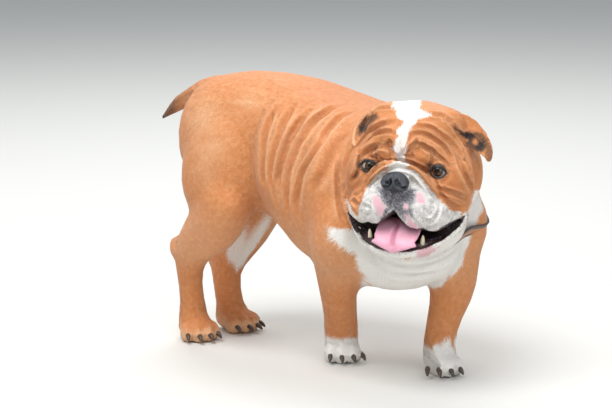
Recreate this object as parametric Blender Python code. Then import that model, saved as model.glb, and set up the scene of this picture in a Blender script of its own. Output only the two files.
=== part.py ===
"""An English bulldog, life size, walking with its forehand and head turned to its right.

Units are metres. +X runs along the hindquarters towards the head, +Y is the dog's left, +Z is up,
and the four feet stand at Z = 0. The flesh is blocked out as overlapping masses, skinned as one
surface, thinned, and parted into named pieces with thin cuts. The head's own sizes are in
millimetres, in a frame whose origin lies midway between the eyes.
"""

import math

import bmesh
import bpy
import numpy as np
from mathutils import Matrix, Vector
from mathutils.bvhtree import BVHTree

# Driving dimensions
LOIN_HEIGHT = 0.412         # the highest point of the roached back
BRISKET_HEIGHT = 0.117      # the lowest point of the chest
CHEST_HALF_WIDTH = 0.137
FOREHAND_TURN = -36.0       # degrees that the shoulders turn to the dog's right
HEAD_TURN = -80.0           # degrees that the face turns to the dog's right
HEAD_PITCH = 3.0            # degrees that the nose is lifted
HEAD_ROLL = 3.0             # degrees that the crown leans to the dog's left
HEAD_PLACE = (0.2485, -0.1563, 0.317)   # midway between the eyes
EYE_RADIUS = 0.0122
EYES = {"left": (50.5, 0.0), "right": (-50.5, -2.5)}   # mm to the dog's left, and up, in the head's frame
BODY_VOXEL = 0.005
SKIN_VOXEL = 0.0027
EVEN_TRIANGLES = 12000
SKIN_TRIANGLES = 7200
MM = 0.001

EYE_DEPTH = -2.0            # mm ahead of the head's origin
EYE_MOUND = (15.0, 16.5, 14.5)          # half sizes of the lids' mound over each eye
COAT = (0.60, 0.27, 0.10)
COAT_DARK = (0.36, 0.16, 0.07)
WHITE_COAT = (0.85, 0.81, 0.74)
BLACK = (0.02, 0.02, 0.022)


def turn_z(degrees):
    return Matrix.Rotation(math.radians(degrees), 4, "Z")


HEAD = (
    Matrix.Translation(HEAD_PLACE)
    @ turn_z(HEAD_TURN)
    @ Matrix.Rotation(math.radians(-HEAD_PITCH), 4, "Y")
    @ Matrix.Rotation(math.radians(-HEAD_ROLL), 4, "X")
    @ Matrix.Scale(MM, 4)
)
BODY = Matrix.Identity(4)


def head_point(x, y, z):
    """A point of the head's own frame, in millimetres, as a point of the dog."""
    return HEAD @ Vector((x, y, z))


# Making and finishing meshes


def clear_scene():
    for thing in list(bpy.data.objects):
        bpy.data.objects.remove(thing, do_unlink=True)


def coat_material(name, colour, roughness=0.75):
    made = bpy.data.materials.new(name)
    made.use_nodes = True
    shader = made.node_tree.nodes["Principled BSDF"]
    shader.inputs["Base Color"].default_value = (*colour, 1.0)
    shader.inputs["Roughness"].default_value = roughness
    shader.inputs["Metallic"].default_value = 0.0
    return made


def object_of(mesh_maker, name):
    """A new object whose mesh is what the bmesh holds."""
    mesh = bpy.data.meshes.new(name)
    mesh_maker.to_mesh(mesh)
    mesh_maker.free()
    made = bpy.data.objects.new(name, mesh)
    bpy.context.scene.collection.objects.link(made)
    return made


def settle(thing):
    """Applies the object's modifiers by taking its evaluated mesh."""
    bpy.context.view_layer.update()
    graph = bpy.context.evaluated_depsgraph_get()
    made = bpy.data.meshes.new_from_object(thing.evaluated_get(graph))
    old = thing.data
    thing.modifiers.clear()
    thing.data = made
    bpy.data.meshes.remove(old)
    return thing


def drop(thing):
    bpy.data.objects.remove(thing, do_unlink=True)


def copy_of(thing, name):
    made = bpy.data.objects.new(name, thing.data.copy())
    bpy.context.scene.collection.objects.link(made)
    return made


def skinned(thing, voxel, rounds, share=0.5):
    """One closed skin over all the masses in the object, smoothed where they meet."""
    remesh = thing.modifiers.new("skin", "REMESH")
    remesh.mode = "VOXEL"
    remesh.voxel_size = voxel
    if rounds:
        smooth = thing.modifiers.new("soften", "SMOOTH")
        smooth.factor = share
        smooth.iterations = rounds
    return settle(thing)


def boolean(thing, other, operation, solver="EXACT"):
    cut = thing.modifiers.new("cut", "BOOLEAN")
    cut.operation = operation
    cut.solver = solver
    cut.object = other
    return settle(thing)


def grown(thing, amount):
    """A copy of the object swollen along its normals."""
    made = copy_of(thing, thing.name + "_grown")
    swell = made.modifiers.new("swell", "DISPLACE")
    swell.strength = amount
    swell.mid_level = 0.0
    return settle(made)


def keep_largest(thing):
    """Leaves the largest closed surface of the object."""
    shell = bmesh.new()
    shell.from_mesh(thing.data)
    unseen = set(shell.verts)
    groups = []
    while unseen:
        start = unseen.pop()
        group, edge = {start}, [start]
        while edge:
            here = edge.pop()
            for link in here.link_edges:
                there = link.other_vert(here)
                if there in unseen:
                    unseen.discard(there)
                    group.add(there)
                    edge.append(there)
        groups.append(group)
    groups.sort(key=len)
    for group in groups[:-1]:
        bmesh.ops.delete(shell, geom=list(group), context="VERTS")
    shell.to_mesh(thing.data)
    shell.free()
    return thing


# Masses


def add_ball(masses, place, radii, frame=BODY, turn=(0.0, 0.0, 0.0), rings=16):
    """An ellipsoid: its centre, its three half sizes, and its turn in degrees about X, Y and Z."""
    about = Matrix.Identity(4)
    for degrees, axis in zip(turn, "XYZ"):
        about = Matrix.Rotation(math.radians(degrees), 4, axis) @ about
    shape = frame @ Matrix.Translation(place) @ about @ Matrix.Diagonal((*radii, 1.0))
    bmesh.ops.create_uvsphere(
        masses, u_segments=2 * rings, v_segments=rings, radius=1.0, matrix=shape
    )


def smooth_path(points, steps):
    """Points on a Catmull-Rom curve through the given rows of numbers."""
    rows = np.array(points, float)
    rows = np.vstack([2 * rows[0] - rows[1], rows, 2 * rows[-1] - rows[-2]])
    found = []
    for i in range(1, len(rows) - 2):
        a, b, c, d = rows[i - 1 : i + 3]
        for k in range(steps):
            t = k / steps
            found.append(
                0.5 * (2 * b + (c - a) * t + (2 * a - 5 * b + 4 * c - d) * t**2
                       + (3 * b - a - 3 * c + d) * t**3)
            )
    found.append(rows[-2])
    return np.array(found)


def add_tube(masses, rows, frame=BODY, side=(0.0, 1.0, 0.0), sides=20, steps=4):
    """A limb: rows of x, y, z, half width along `side`, and half depth across it."""
    path = smooth_path([row if len(row) == 5 else (*row, row[3]) for row in rows], steps)
    scale = frame.to_scale()[0]
    centres = [frame @ Vector(row[:3]) for row in path]
    across = (frame.to_3x3() @ Vector(side)).normalized()
    ends = [centres[1] - centres[0], centres[-1] - centres[-2]]
    tangents = [ends[0], *(centres[i + 1] - centres[i - 1] for i in range(1, len(centres) - 1)), ends[1]]
    loops = []
    for i, (centre, tangent, row) in enumerate(zip(centres, tangents, path)):
        tangent = tangent.normalized()
        wide = (across - tangent * across.dot(tangent)).normalized()
        deep = tangent.cross(wide)
        sizes = (row[3] * scale, row[4] * scale)
        rings = [(0.0, 1.0)]
        if i == 0:
            rings = [(-0.75, 0.6), (-0.5, 0.85), (0.0, 1.0)]
        elif i == len(centres) - 1:
            rings = [(0.0, 1.0), (0.5, 0.85), (0.75, 0.6)]
        for along, share in rings:
            middle = centre + tangent * along * min(sizes)
            loops.append([
                masses.verts.new(
                    middle
                    + wide * (math.cos(2 * math.pi * k / sides) * sizes[0] * share)
                    + deep * (math.sin(2 * math.pi * k / sides) * sizes[1] * share)
                )
                for k in range(sides)
            ])
    close_loops(masses, loops)


def close_loops(masses, loops):
    """Faces between the loops in order, and one over each end."""
    count = len(loops[0])
    faces = []
    for first, second in zip(loops, loops[1:]):
        for k in range(count):
            n = (k + 1) % count
            faces.append(masses.faces.new((first[k], first[n], second[n], second[k])))
    faces.append(masses.faces.new(list(reversed(loops[0]))))
    faces.append(masses.faces.new(loops[-1]))
    bmesh.ops.recalc_face_normals(masses, faces=faces)


def mirrored(place):
    """The place on the dog's left and on its right, with the sign of each side."""
    return [((place[0], side * place[1], place[2]), side) for side in (1, -1)]


# Torso: stations along the curved spine
# Each is x, y, heading, top, bottom and half width.
TORSO = (
    (-0.207, 0.006, 6, 0.346, 0.272, 0.046),
    (-0.193, 0.008, 7, 0.380, 0.242, 0.068),
    (-0.160, 0.012, 8, 0.401, 0.220, 0.087),
    (-0.110, 0.017, 6, LOIN_HEIGHT, 0.206, 0.098),
    (-0.060, 0.020, 0, LOIN_HEIGHT, 0.196, 0.104),
    (-0.010, 0.017, -7, 0.407, 0.176, 0.115),
    (0.040, 0.008, -14, 0.395, 0.152, 0.127),
    (0.090, -0.006, -22, 0.384, 0.128, CHEST_HALF_WIDTH),
    (0.135, -0.022, -30, 0.378, BRISKET_HEIGHT, CHEST_HALF_WIDTH),
    (0.175, -0.044, -36, 0.366, BRISKET_HEIGHT, 0.128),
    (0.208, -0.066, -42, 0.338, 0.126, 0.106),
    (0.228, -0.082, -46, 0.296, 0.158, 0.068),
)
SECTION_POINTS = 36
TOP_FULLNESS = 2.3          # 2 is an ellipse, more is squarer
BELLY_FULLNESS = 2.1


def torso_section(x, y, heading, top, bottom, half_width):
    """One ring of the barrel, upright and square to the spine."""
    left = turn_z(heading) @ Vector((0.0, 1.0, 0.0))
    middle = bottom + 0.52 * (top - bottom)
    ring = []
    for k in range(SECTION_POINTS):
        angle = 2 * math.pi * k / SECTION_POINTS
        c, s = math.cos(angle), math.sin(angle)
        power = 2 / (TOP_FULLNESS if s > 0 else BELLY_FULLNESS)
        wide = math.copysign(abs(c) ** power, c) * half_width
        tall = math.copysign(abs(s) ** power, s) * ((top - middle) if s > 0 else (middle - bottom))
        ring.append(Vector((x, y, middle + tall)) + left * wide)
    return ring


def add_torso(masses):
    stations = smooth_path(TORSO, 3)
    loops = [[masses.verts.new(p) for p in torso_section(*row)] for row in stations]
    close_loops(masses, loops)


def add_forehand(masses):
    """Shoulder blades, upper arms and breast, on the turned chest."""
    chest = Matrix.Translation(CHEST_PLACE) @ turn_z(FOREHAND_TURN)
    for place, _ in mirrored((0.000, 0.098, 0.262)):
        add_ball(masses, place, (0.056, 0.038, 0.088), chest, (0, -14, 0))
    for place, _ in mirrored((0.034, 0.104, 0.205)):
        add_ball(masses, place, (0.044, 0.034, 0.058), chest, (0, 20, 0))
    add_ball(masses, (0.048, 0.0, 0.190), (0.058, 0.094, 0.070), chest)
    for place, _ in mirrored((0.060, 0.040, 0.190)):
        add_ball(masses, place, (0.044, 0.040, 0.062), chest)


def add_neck(masses):
    """The thick short neck, turning into the head, with the throat's loose skin."""
    add_ball(masses, (0.150, -0.028, 0.280), (0.085, 0.122, 0.102), turn=(0, 0, -38))
    add_ball(masses, (0.196, -0.056, 0.292), (0.066, 0.110, 0.096), turn=(0, 0, -56))
    add_ball(masses, (0.226, -0.078, 0.300), (0.052, 0.098, 0.088), turn=(0, 0, -72))
    add_ball(masses, (0.226, -0.098, 0.232), (0.054, 0.084, 0.058), turn=(0, 0, -68))


# Legs: rows of x, y, z, half width and half depth
FORELEGS = {
    "right": dict(
        rows=(
            (0.112, -0.106, 0.225, 0.040, 0.046),
            (0.108, -0.098, 0.165, 0.036, 0.042),
            (0.102, -0.084, 0.115, 0.029, 0.033),
            (0.094, -0.063, 0.078, 0.0265, 0.028),
            (0.087, -0.048, 0.046, 0.027, 0.027),
            (0.083, -0.038, 0.026, 0.028, 0.026),
        ),
        paw=(0.082, -0.035), heading=-50.0,
    ),
    "left": dict(
        rows=(
            (0.228, 0.040, 0.225, 0.044, 0.052),
            (0.237, 0.026, 0.165, 0.038, 0.044),
            (0.242, 0.006, 0.115, 0.034, 0.037),
            (0.2415, -0.012, 0.084, 0.0275, 0.029),
            (0.2405, -0.026, 0.056, 0.0245, 0.026),
            (0.244, -0.038, 0.028, 0.0265, 0.026),
        ),
        paw=(0.246, -0.042), heading=-50.0,
    ),
}
HINDLEGS = {
    "right": dict(
        thigh=((-0.106, -0.060, 0.272), (0.071, 0.044, 0.090)),
        rows=(
            (-0.098, -0.068, 0.232, 0.043, 0.054),
            (-0.119, -0.063, 0.192, 0.039, 0.048),
            (-0.156, -0.052, 0.160, 0.032, 0.038),
            (-0.178, -0.042, 0.124, 0.024, 0.028),
            (-0.184, -0.034, 0.092, 0.0205, 0.0215),
            (-0.185, -0.028, 0.062, 0.0205, 0.021),
            (-0.186, -0.024, 0.034, 0.0235, 0.024),
        ),
        hock=(-0.196, -0.046, 0.142), paw=(-0.180, -0.026), heading=-38.0,
    ),
    "left": dict(
        thigh=((-0.122, 0.076, 0.268), (0.073, 0.044, 0.090)),
        rows=(
            (-0.130, 0.082, 0.215, 0.044, 0.052),
            (-0.149, 0.080, 0.163, 0.036, 0.041),
            (-0.170, 0.074, 0.126, 0.029, 0.034),
            (-0.181, 0.067, 0.098, 0.024, 0.029),
            (-0.176, 0.060, 0.066, 0.0215, 0.0235),
            (-0.168, 0.056, 0.034, 0.0235, 0.024),
        ),
        hock=(-0.205, 0.072, 0.110), paw=(-0.161, 0.055), heading=-14.0,
    ),
}
PAW_HALF_WIDTH = 0.0315
TOE_SPREAD = (-1.0, -0.36, 0.36, 1.0)       # across the paw, in half widths of its toe row
TOE_REACH = (0.016, 0.026, 0.026, 0.016)    # how far ahead each toe sits
TOE_RADII = (0.0185, 0.0115, 0.0165)


def paw_frame(leg):
    return Matrix.Translation((*leg["paw"], 0.0)) @ turn_z(leg["heading"])


def add_legs(masses):
    for leg in FORELEGS.values():
        facing = turn_z(leg["heading"]) @ Vector((0.0, 1.0, 0.0))
        add_tube(masses, leg["rows"], side=facing, sides=20)
    for leg in HINDLEGS.values():
        add_ball(masses, *leg["thigh"], turn=(0, 22, 0))
        facing = turn_z(leg["heading"]) @ Vector((0.0, 1.0, 0.0))
        add_tube(masses, leg["rows"], side=facing, sides=20)
        add_ball(masses, leg["hock"], (0.018, 0.017, 0.022), turn=(0, -30, 0))
    for leg in (*FORELEGS.values(), *HINDLEGS.values()):
        add_ball(masses, (0.0, 0.0, 0.018), (0.034, PAW_HALF_WIDTH - 0.003, 0.021), paw_frame(leg))


def add_toes(masses):
    """Four knuckled toes on each paw, the middle pair ahead."""
    for leg in (*FORELEGS.values(), *HINDLEGS.values()):
        frame = paw_frame(leg)
        for share, reach in zip(TOE_SPREAD, TOE_REACH):
            across = share * (PAW_HALF_WIDTH - TOE_RADII[1])
            fan = -14.0 * share
            add_ball(masses, (reach, -across, 0.0135), TOE_RADII, frame, (0, 12, fan), rings=10)


def add_tail(masses):
    """The short kinked tail, carried low along the rump."""
    rows = (
        (-0.148, 0.014, 0.386, 0.026, 0.018),
        (-0.170, 0.016, 0.387, 0.021, 0.016),
        (-0.192, 0.016, 0.379, 0.018, 0.0155),
        (-0.210, 0.016, 0.367, 0.017, 0.0150),
        (-0.228, 0.016, 0.357, 0.015, 0.0145),
        (-0.246, 0.015, 0.344, 0.011, 0.0110),
        (-0.260, 0.014, 0.332, 0.007, 0.0065),
        (-0.272, 0.014, 0.321, 0.003, 0.003),
    )
    add_tube(masses, rows, sides=14)


# Head masses, in the head's frame


def add_skull(masses):
    add_ball(masses, (-62, 0, 25), (72, 82, 66), HEAD)
    add_ball(masses, (-36, 0, 38), (43, 64, 48), HEAD)
    for place, _ in mirrored((-46, 36, 54)):
        add_ball(masses, place, (44, 36, 34), HEAD)
    for place, _ in mirrored((-28, 60, -20)):
        add_ball(masses, place, (42, 34, 48), HEAD)
    for place, _ in mirrored((-36, 54, -62)):
        add_ball(masses, place, (40, 33, 34), HEAD)
    add_ball(masses, (6, 0, -34), (32, 56, 34), HEAD)
    add_ball(masses, (-14, 0, -92), (44, 60, 34), HEAD)


def add_face(masses):
    """Brows, nose, the hanging upper lips and the lower lip."""
    for place, side in mirrored((-3, 28, 19)):
        add_ball(masses, place, (18, 21, 14), HEAD, (14 * side, 0, 0))
    for y, z in EYES.values():
        add_ball(masses, (EYE_DEPTH, y, z), EYE_MOUND, HEAD, rings=12)
    add_ball(masses, (36, 0, -15), (14, 20, 12), HEAD, (0, -12, 0), rings=12)
    for place, _ in mirrored((40, 10.5, -18)):
        add_ball(masses, place, (9.5, 9.5, 9.0), HEAD, rings=12)
    for place, side in mirrored((20, 25, -52)):
        add_ball(masses, place, (25, 31, 30), HEAD, (12 * side, 0, 0))
    for place, side in mirrored((6, 49, -57)):
        add_ball(masses, place, (28, 27, 27), HEAD, (20 * side, 0, 0))
    for side in (1, -1):
        rows = [(x, side * y, z, r) for x, y, z, r in LOWER_LIP]
        add_tube(masses, rows, HEAD, side=(0.0, 0.0, 1.0), sides=14)


# Rolls of loose skin on the head: half of each, from the middle of the face outwards
# Each row is x, y, z and the roll's radius.
LOWER_LIP = (
    (28, -4, -116, 9.0), (27, 12, -116, 9.0), (22, 30, -111, 9.0), (12, 48, -102, 9.0),
    (0, 63, -91, 8.5), (-14, 76, -79, 8.0), (-26, 82, -67, 6.0),
)
NOSE_ROLL = (
    (33, -3, 5, 7.0), (31, 14, 4, 7.0), (27, 29, -3, 7.2), (22, 39, -16, 7.5),
    (15, 48, -31, 7.8), (5, 57, -43, 7.8), (-6, 66, -52, 7.0), (-18, 75, -57, 5.0),
)
CHEEK_ROLLS = (
    ((9, 57, -30, 4.5), (0, 69, -34, 6.5), (-12, 81, -41, 7.0), (-25, 88, -49, 5.5)),
    ((4, 58, -43, 4.5), (-5, 70, -48, 6.5), (-15, 80, -56, 6.5), (-26, 85, -63, 5.0)),
)
BROW_ROLLS = (
    ((13, 7, 22, 4.0), (11, 9, 34, 5.5), (8, 18, 42, 6.0), (6, 32, 39, 6.0), (2, 48, 30, 6.0),
     (-4, 61, 12, 5.5), (-7, 65, -6, 4.0)),
    ((3, 7, 47, 5.0), (-1, 22, 52, 6.5), (-6, 38, 47, 6.5), (-13, 56, 34, 6.5), (-18, 71, 14, 6.0),
     (-20, 77, -6, 4.5)),
    ((-12, 8, 64, 5.5), (-15, 30, 64, 7.0), (-21, 50, 54, 7.0), (-28, 67, 36, 7.0),
     (-32, 80, 12, 6.5), (-33, 86, -10, 4.5)),
    ((-34, 14, 80, 5.0), (-36, 34, 79, 7.0), (-40, 54, 68, 7.0), (-44, 68, 54, 6.0)),
)


def add_face_rolls(masses):
    rolls = (NOSE_ROLL, *CHEEK_ROLLS, *BROW_ROLLS)
    for roll in rolls:
        for side in (1, -1):
            rows = [(x, side * y, z, r) for x, y, z, r in roll]
            add_tube(masses, rows, HEAD, side=(0.0, 0.0, 1.0), sides=12)


# Folds of loose skin on the barrel, gathered on the inside of the bend
FOLD_COUNT = 6
FOLD_FIRST = -0.012         # x of the hindmost fold at the middle of the flank
FOLD_STEP = 0.0138
FOLD_SWEEP_TOP = 0.052      # how far a fold runs forwards towards the withers
FOLD_SWEEP_LOW = 0.020      # and towards the brisket
FOLD_RADIUS = 0.0074
FLANK = (0.030, -0.095, 0.290)   # the middle of the folds


def spine_at(x):
    rows = smooth_path(TORSO, 6)
    return [float(np.interp(x, rows[:, 0], rows[:, k])) for k in range(1, 6)]


def fold_path(skin, middle_x, side, start=76.0, stop=-58.0, points=13):
    """Points on the skin down one side of the barrel, found by rays in towards the spine."""
    found = []
    for k in range(points):
        share = k / (points - 1)
        sweep = FOLD_SWEEP_TOP * max(0.0, 1 - 2 * share) ** 2 + FOLD_SWEEP_LOW * max(0.0, 2 * share - 1) ** 2
        x = middle_x + sweep
        y, heading, top, bottom, _ = spine_at(x)
        angle = math.radians(start + (stop - start) * share)
        out = turn_z(heading) @ Vector((0.0, side * math.cos(angle), math.sin(angle)))
        middle = Vector((x, y, 0.5 * (top + bottom)))
        hit = skin.ray_cast(middle + out * 0.4, -out)[0]
        radius = FOLD_RADIUS * math.sin(math.pi * (0.10 + 0.80 * share)) ** 0.7
        found.append((*hit, radius))
    return found


def add_barrel_folds(masses, base):
    skin = BVHTree.FromObject(base, bpy.context.evaluated_depsgraph_get())
    for k in range(FOLD_COUNT):
        path = fold_path(skin, FOLD_FIRST + k * FOLD_STEP, -1)
        add_tube(masses, path, sides=10, steps=2, side=(1.0, 0.0, 0.0))


# Openings: the mouth, nostrils and lids, in the head's frame
MOUTH = (
    (0, -56), (11, -67), (24, -80), (40, -86), (58, -82), (74, -69), (85, -61),
    (80, -75), (66, -91), (46, -104), (24, -111), (0, -113),
)
MOUTH_FRONT = 80.0
MOUTH_BACK = -30.0
LIDS = (
    (-12.6, -1.0), (-9.0, 5.0), (-4.0, 7.8), (1.0, 8.4), (6.0, 7.4), (10.0, 4.4),
    (12.4, 0.2), (9.0, -4.2), (4.0, -6.8), (-2.0, -7.2), (-8.0, -5.2),
)
LID_START = 4.0             # mm ahead of the eye's middle where the slit between the lids begins
LID_REACH = 30.0
CLEAR = 0.00045             # how far a cutter stands off what it clears
PALATE = ((-4, 0, -90), (46, 56, 21))   # the hollow behind the teeth, its middle and half sizes


def prism(name, outline, extent, frame=BODY):
    """A closed prism: a flat outline of points, moved along the extent."""
    shell = bmesh.new()
    near = [shell.verts.new(frame @ Vector(p)) for p in outline]
    far = [shell.verts.new(frame @ (Vector(p) + Vector(extent))) for p in outline]
    close_loops(shell, [near, far])
    return object_of(shell, name)


def ball(name, place, radii, frame=BODY, turn=(0.0, 0.0, 0.0), rings=12):
    masses = bmesh.new()
    add_ball(masses, place, radii, frame, turn, rings)
    return object_of(masses, name)


def take(thing, cutter, operation="DIFFERENCE"):
    """Cuts with the cutter and removes it. MANIFOLD, because EXACT is slow on the dense skin."""
    boolean(thing, cutter, operation, "MANIFOLD")
    drop(cutter)
    return thing


def clear(thing, other, amount=CLEAR):
    """Cuts room for the other object out of this one."""
    return take(thing, grown(other, amount))


def part_off(whole, cutter, name):
    """Parts the piece inside the cutter from the whole, with a thin gap between them."""
    piece = copy_of(whole, name)
    take(whole, grown(cutter, CLEAR))
    take(piece, cutter, "INTERSECT")
    keep_largest(whole)
    return keep_largest(piece)


def open_mouth(head):
    right = [(-y, z) for y, z in reversed(MOUTH[1:])]
    outline = [(MOUTH_BACK, y, z) for y, z in (*MOUTH, *right[1:])]
    take(head, prism("mouth_space", outline, (MOUTH_FRONT - MOUTH_BACK, 0, 0), HEAD))
    take(head, ball("palate_space", *PALATE, HEAD))


def open_lids(head):
    socket = [(EYE_RADIUS + CLEAR) / MM] * 3
    for side, (middle_y, middle_z) in zip((1, -1), EYES.values()):
        take(head, ball("socket", (EYE_DEPTH, middle_y, middle_z), socket, HEAD, rings=10))
        outline = [(EYE_DEPTH + LID_START, middle_y + side * y, middle_z + z) for y, z in LIDS]
        take(head, prism("lid_space", outline, (LID_REACH, 0, 0), HEAD))


# Gum and canines of the lower jaw, half of the gum from the corner to the middle
GUM = (
    (-16, 52, -96, 5.0), (4, 46, -100, 5.5), (16, 34, -104, 5.0), (22, 16, -109, 4.5), (23, -3, -110, 4.5),
)
CANINE = ((14, 38, -102, 3.6), (16, 39, -95, 3.2), (18, 39, -87, 1.0))


def make_gum():
    """The ridge that the lower teeth stand in, with the two canines beside the tongue."""
    masses = bmesh.new()
    for side in (1, -1):
        add_tube(masses, [(x, side * y, z, r) for x, y, z, r in GUM], HEAD, (0.0, 0.0, 1.0), sides=8, steps=2)
        add_tube(masses, [(x, side * y, z, r) for x, y, z, r in CANINE], HEAD, sides=6, steps=1)
    return object_of(masses, "gum")


# Ears: a leaf along the head's side, from its root on the skull to its tip
# Each row is the middle of the leaf, then the half width across it.
EARS = {
    "left": (
        (-38, 48, 72, 9.0), (-42, 62, 67, 14.0), (-43, 78, 57, 16.0), (-41, 92, 44, 14.5),
        (-39, 103, 33, 10.5), (-37, 109, 24, 6.0), (-36, 110, 17, 2.5),
    ),
    "right": (
        (-38, -46, 71, 9.0), (-43, -60, 64, 13.0), (-45, -73, 53, 15.0), (-44, -82, 41, 13.5),
        (-41, -86, 31, 10.0), (-37, -88, 23, 6.0), (-34, -89, 18, 2.5),
    ),
}
EAR_ACROSS = (-0.50, 0.30, 0.80)      # from the lower edge of the left leaf to its upper edge
EAR_THICK = 2.6
EAR_CUP = 0.50                        # how deep the leaf is cupped, in half widths


def make_ear(name):
    rows = smooth_path(EARS[name], 2)
    side = 1 if name == "left" else -1
    across = Vector((EAR_ACROSS[0], side * EAR_ACROSS[1], EAR_ACROSS[2])).normalized()
    shell = bmesh.new()
    loops = []
    for i, (x, y, z, half) in enumerate(rows):
        ahead = Vector(rows[min(i + 1, len(rows) - 1)][:3]) - Vector(rows[max(i - 1, 0)][:3])
        wide = (across - ahead.normalized() * across.dot(ahead.normalized())).normalized()
        out = wide.cross(ahead).normalized() * side
        ring = []
        for k in range(14):
            angle = 2 * math.pi * k / 14
            share = math.cos(angle)
            bulge = half * EAR_CUP * (1 - share * share) + EAR_THICK * math.sin(angle)
            ring.append(shell.verts.new(HEAD @ (Vector((x, y, z)) + wide * half * share + out * bulge)))
        loops.append(ring)
    close_loops(shell, loops)
    return object_of(shell, "ear_" + name)


# Tongue: rows of x, z and half width, from its root over the lower lip
TONGUE = (
    (-30, -86, 22.0), (-8, -84, 29.0), (14, -86, 32.0), (28, -92, 32.0), (36, -99, 29.0),
    (40, -105, 18.0), (42, -114, 4.0),
)
TONGUE_THICK = 4.6
TONGUE_SIDE = 4.0           # mm that it lies to the dog's left


def make_tongue():
    rows = smooth_path(TONGUE, 2)
    shell = bmesh.new()
    loops = []
    for i, (x, z, half) in enumerate(rows):
        ahead = rows[min(i + 1, len(rows) - 1)] - rows[max(i - 1, 0)]
        up = Vector((-ahead[1], 0, ahead[0])).normalized()
        thick = min(TONGUE_THICK, half * 0.6)
        ring = []
        for k in range(16):
            angle = 2 * math.pi * k / 16
            share = math.cos(angle)
            rise = thick * math.sin(angle) + 2.2 * share * share - 1.1
            place = Vector((x, TONGUE_SIDE + half * share, z)) + up * rise
            ring.append(shell.verts.new(HEAD @ place))
        loops.append(ring)
    close_loops(shell, loops)
    return object_of(shell, "tongue")


# Collar: its route round the neck, from under the chin by the dog's left, laid on the skin
# The fourth number is how deep the loose skin has folded over the strap.
COLLAR_ROUTE = (
    (0.268, -0.128, 0.176, 0.013), (0.296, -0.066, 0.188, 0.011), (0.300, 0.000, 0.192, 0.0),
    (0.284, 0.060, 0.204, 0.0), (0.256, 0.094, 0.256, 0.0), (0.222, 0.078, 0.330, 0.0),
    (0.174, 0.020, 0.382, 0.0), (0.128, -0.036, 0.372, 0.004), (0.112, -0.092, 0.320, 0.014),
    (0.132, -0.130, 0.262, 0.016), (0.182, -0.150, 0.210, 0.016), (0.228, -0.150, 0.180, 0.012),
)
COLLAR_MIDDLE = (0.196, -0.050, 0.280)
COLLAR_WIDE = 0.020
COLLAR_THICK = 0.0032


def make_collar(flesh):
    """A flat strap: rays in towards the middle of the neck find the skin under its route."""
    skin = BVHTree.FromObject(flesh, bpy.context.evaluated_depsgraph_get())
    middle = Vector(COLLAR_MIDDLE)
    count = len(COLLAR_ROUTE)
    closed = [COLLAR_ROUTE[(k - 2) % count] for k in range(count + 5)]
    route = smooth_path(closed, 4)[8:8 + 4 * count]
    found = []
    for x, y, z, depth in route:
        out = (Vector((x, y, z)) - middle).normalized()
        found.append(skin.ray_cast(middle + out * 0.3, -out)[0] - out * max(0.0, depth))
    for _ in range(5):
        beside = [0.5 * (found[k - 1] + found[(k + 1) % len(found)]) for k in range(len(found))]
        found = [a.lerp(b, 0.5) for a, b in zip(found, beside)]
    shell = bmesh.new()
    loops = []
    for k, place in enumerate(found):
        along = (found[(k + 1) % len(found)] - found[k - 1]).normalized()
        out = (place - middle).normalized()
        out = (out - along * out.dot(along)).normalized()
        wide = along.cross(out) * COLLAR_WIDE / 2
        deep = out * COLLAR_THICK
        loops.append([shell.verts.new(p) for p in (
            place - wide, place - wide + deep, place + wide + deep, place + wide)])
    for first, second in zip(loops, loops[1:] + loops[:1]):
        for k in range(4):
            n = (k + 1) % 4
            shell.faces.new((first[k], first[n], second[n], second[k]))
    bmesh.ops.recalc_face_normals(shell, faces=shell.faces)
    return object_of(shell, "collar")


def make_skin():
    """The whole flesh as one thinned closed surface, the head finer than the rest."""
    coarse = bmesh.new()
    for add in (add_torso, add_forehand, add_neck, add_legs, add_tail, add_skull):
        add(coarse)
    base = skinned(object_of(coarse, "flesh"), BODY_VOXEL, 14)
    fine = bmesh.new()
    fine.from_mesh(base.data)
    for add in (add_toes, add_face, add_face_rolls):
        add(fine)
    add_barrel_folds(fine, base)
    drop(base)
    return skinned(object_of(fine, "flesh"), SKIN_VOXEL, 2)


def thin_out(skin, triangles, group=""):
    thin = skin.modifiers.new("thin", "DECIMATE")
    skin.data.calc_loop_triangles()
    thin.ratio = triangles / len(skin.data.loop_triangles)
    thin.vertex_group = group
    thin.vertex_group_factor = 1.0 if group else 0.0
    thin.use_collapse_triangulate = True
    return settle(skin)


def thinned(skin):
    """Fewer triangles: first everywhere alike, then only behind the face."""
    thin_out(skin, EVEN_TRIANGLES)
    face = head_point(-10, 0, -20)
    flank = Vector(FLANK)
    body = skin.vertex_groups.new(name="body")
    for vertex in skin.data.vertices:
        from_face = ((vertex.co - face).length - 0.105) / 0.03
        from_flank = ((vertex.co - flank).length - 0.060) / 0.03
        body.add([vertex.index], min(1.0, max(0.0, min(from_face, from_flank))), "REPLACE")
    return thin_out(skin, SKIN_TRIANGLES, "body")


def box(name, corner, size, frame=BODY):
    x, y, z = corner
    w, d, h = size
    return prism(name, [(x, y, z), (x + w, y, z), (x + w, y + d, z), (x, y + d, z)], (0, 0, h), frame)


def claws(leg):
    """Four short hooked claws, one at the front of each toe."""
    masses = bmesh.new()
    frame = paw_frame(leg)
    for share, reach in zip(TOE_SPREAD, TOE_REACH):
        across = share * (PAW_HALF_WIDTH - TOE_RADII[1])
        fan = math.radians(-14.0 * share)
        ahead = Vector((math.cos(fan), math.sin(fan), 0))
        root = Vector((reach, -across, 0.013)) + ahead * (TOE_RADII[0] - 0.006)
        rows = [(*(root + ahead * along + Vector((0, 0, -drop_by))), r)
                for along, drop_by, r in ((0, 0, 0.0036), (0.008, 0.0015, 0.003), (0.0135, 0.006, 0.001))]
        add_tube(masses, rows, frame, sides=6, steps=1)
    return object_of(masses, "claws")


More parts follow.
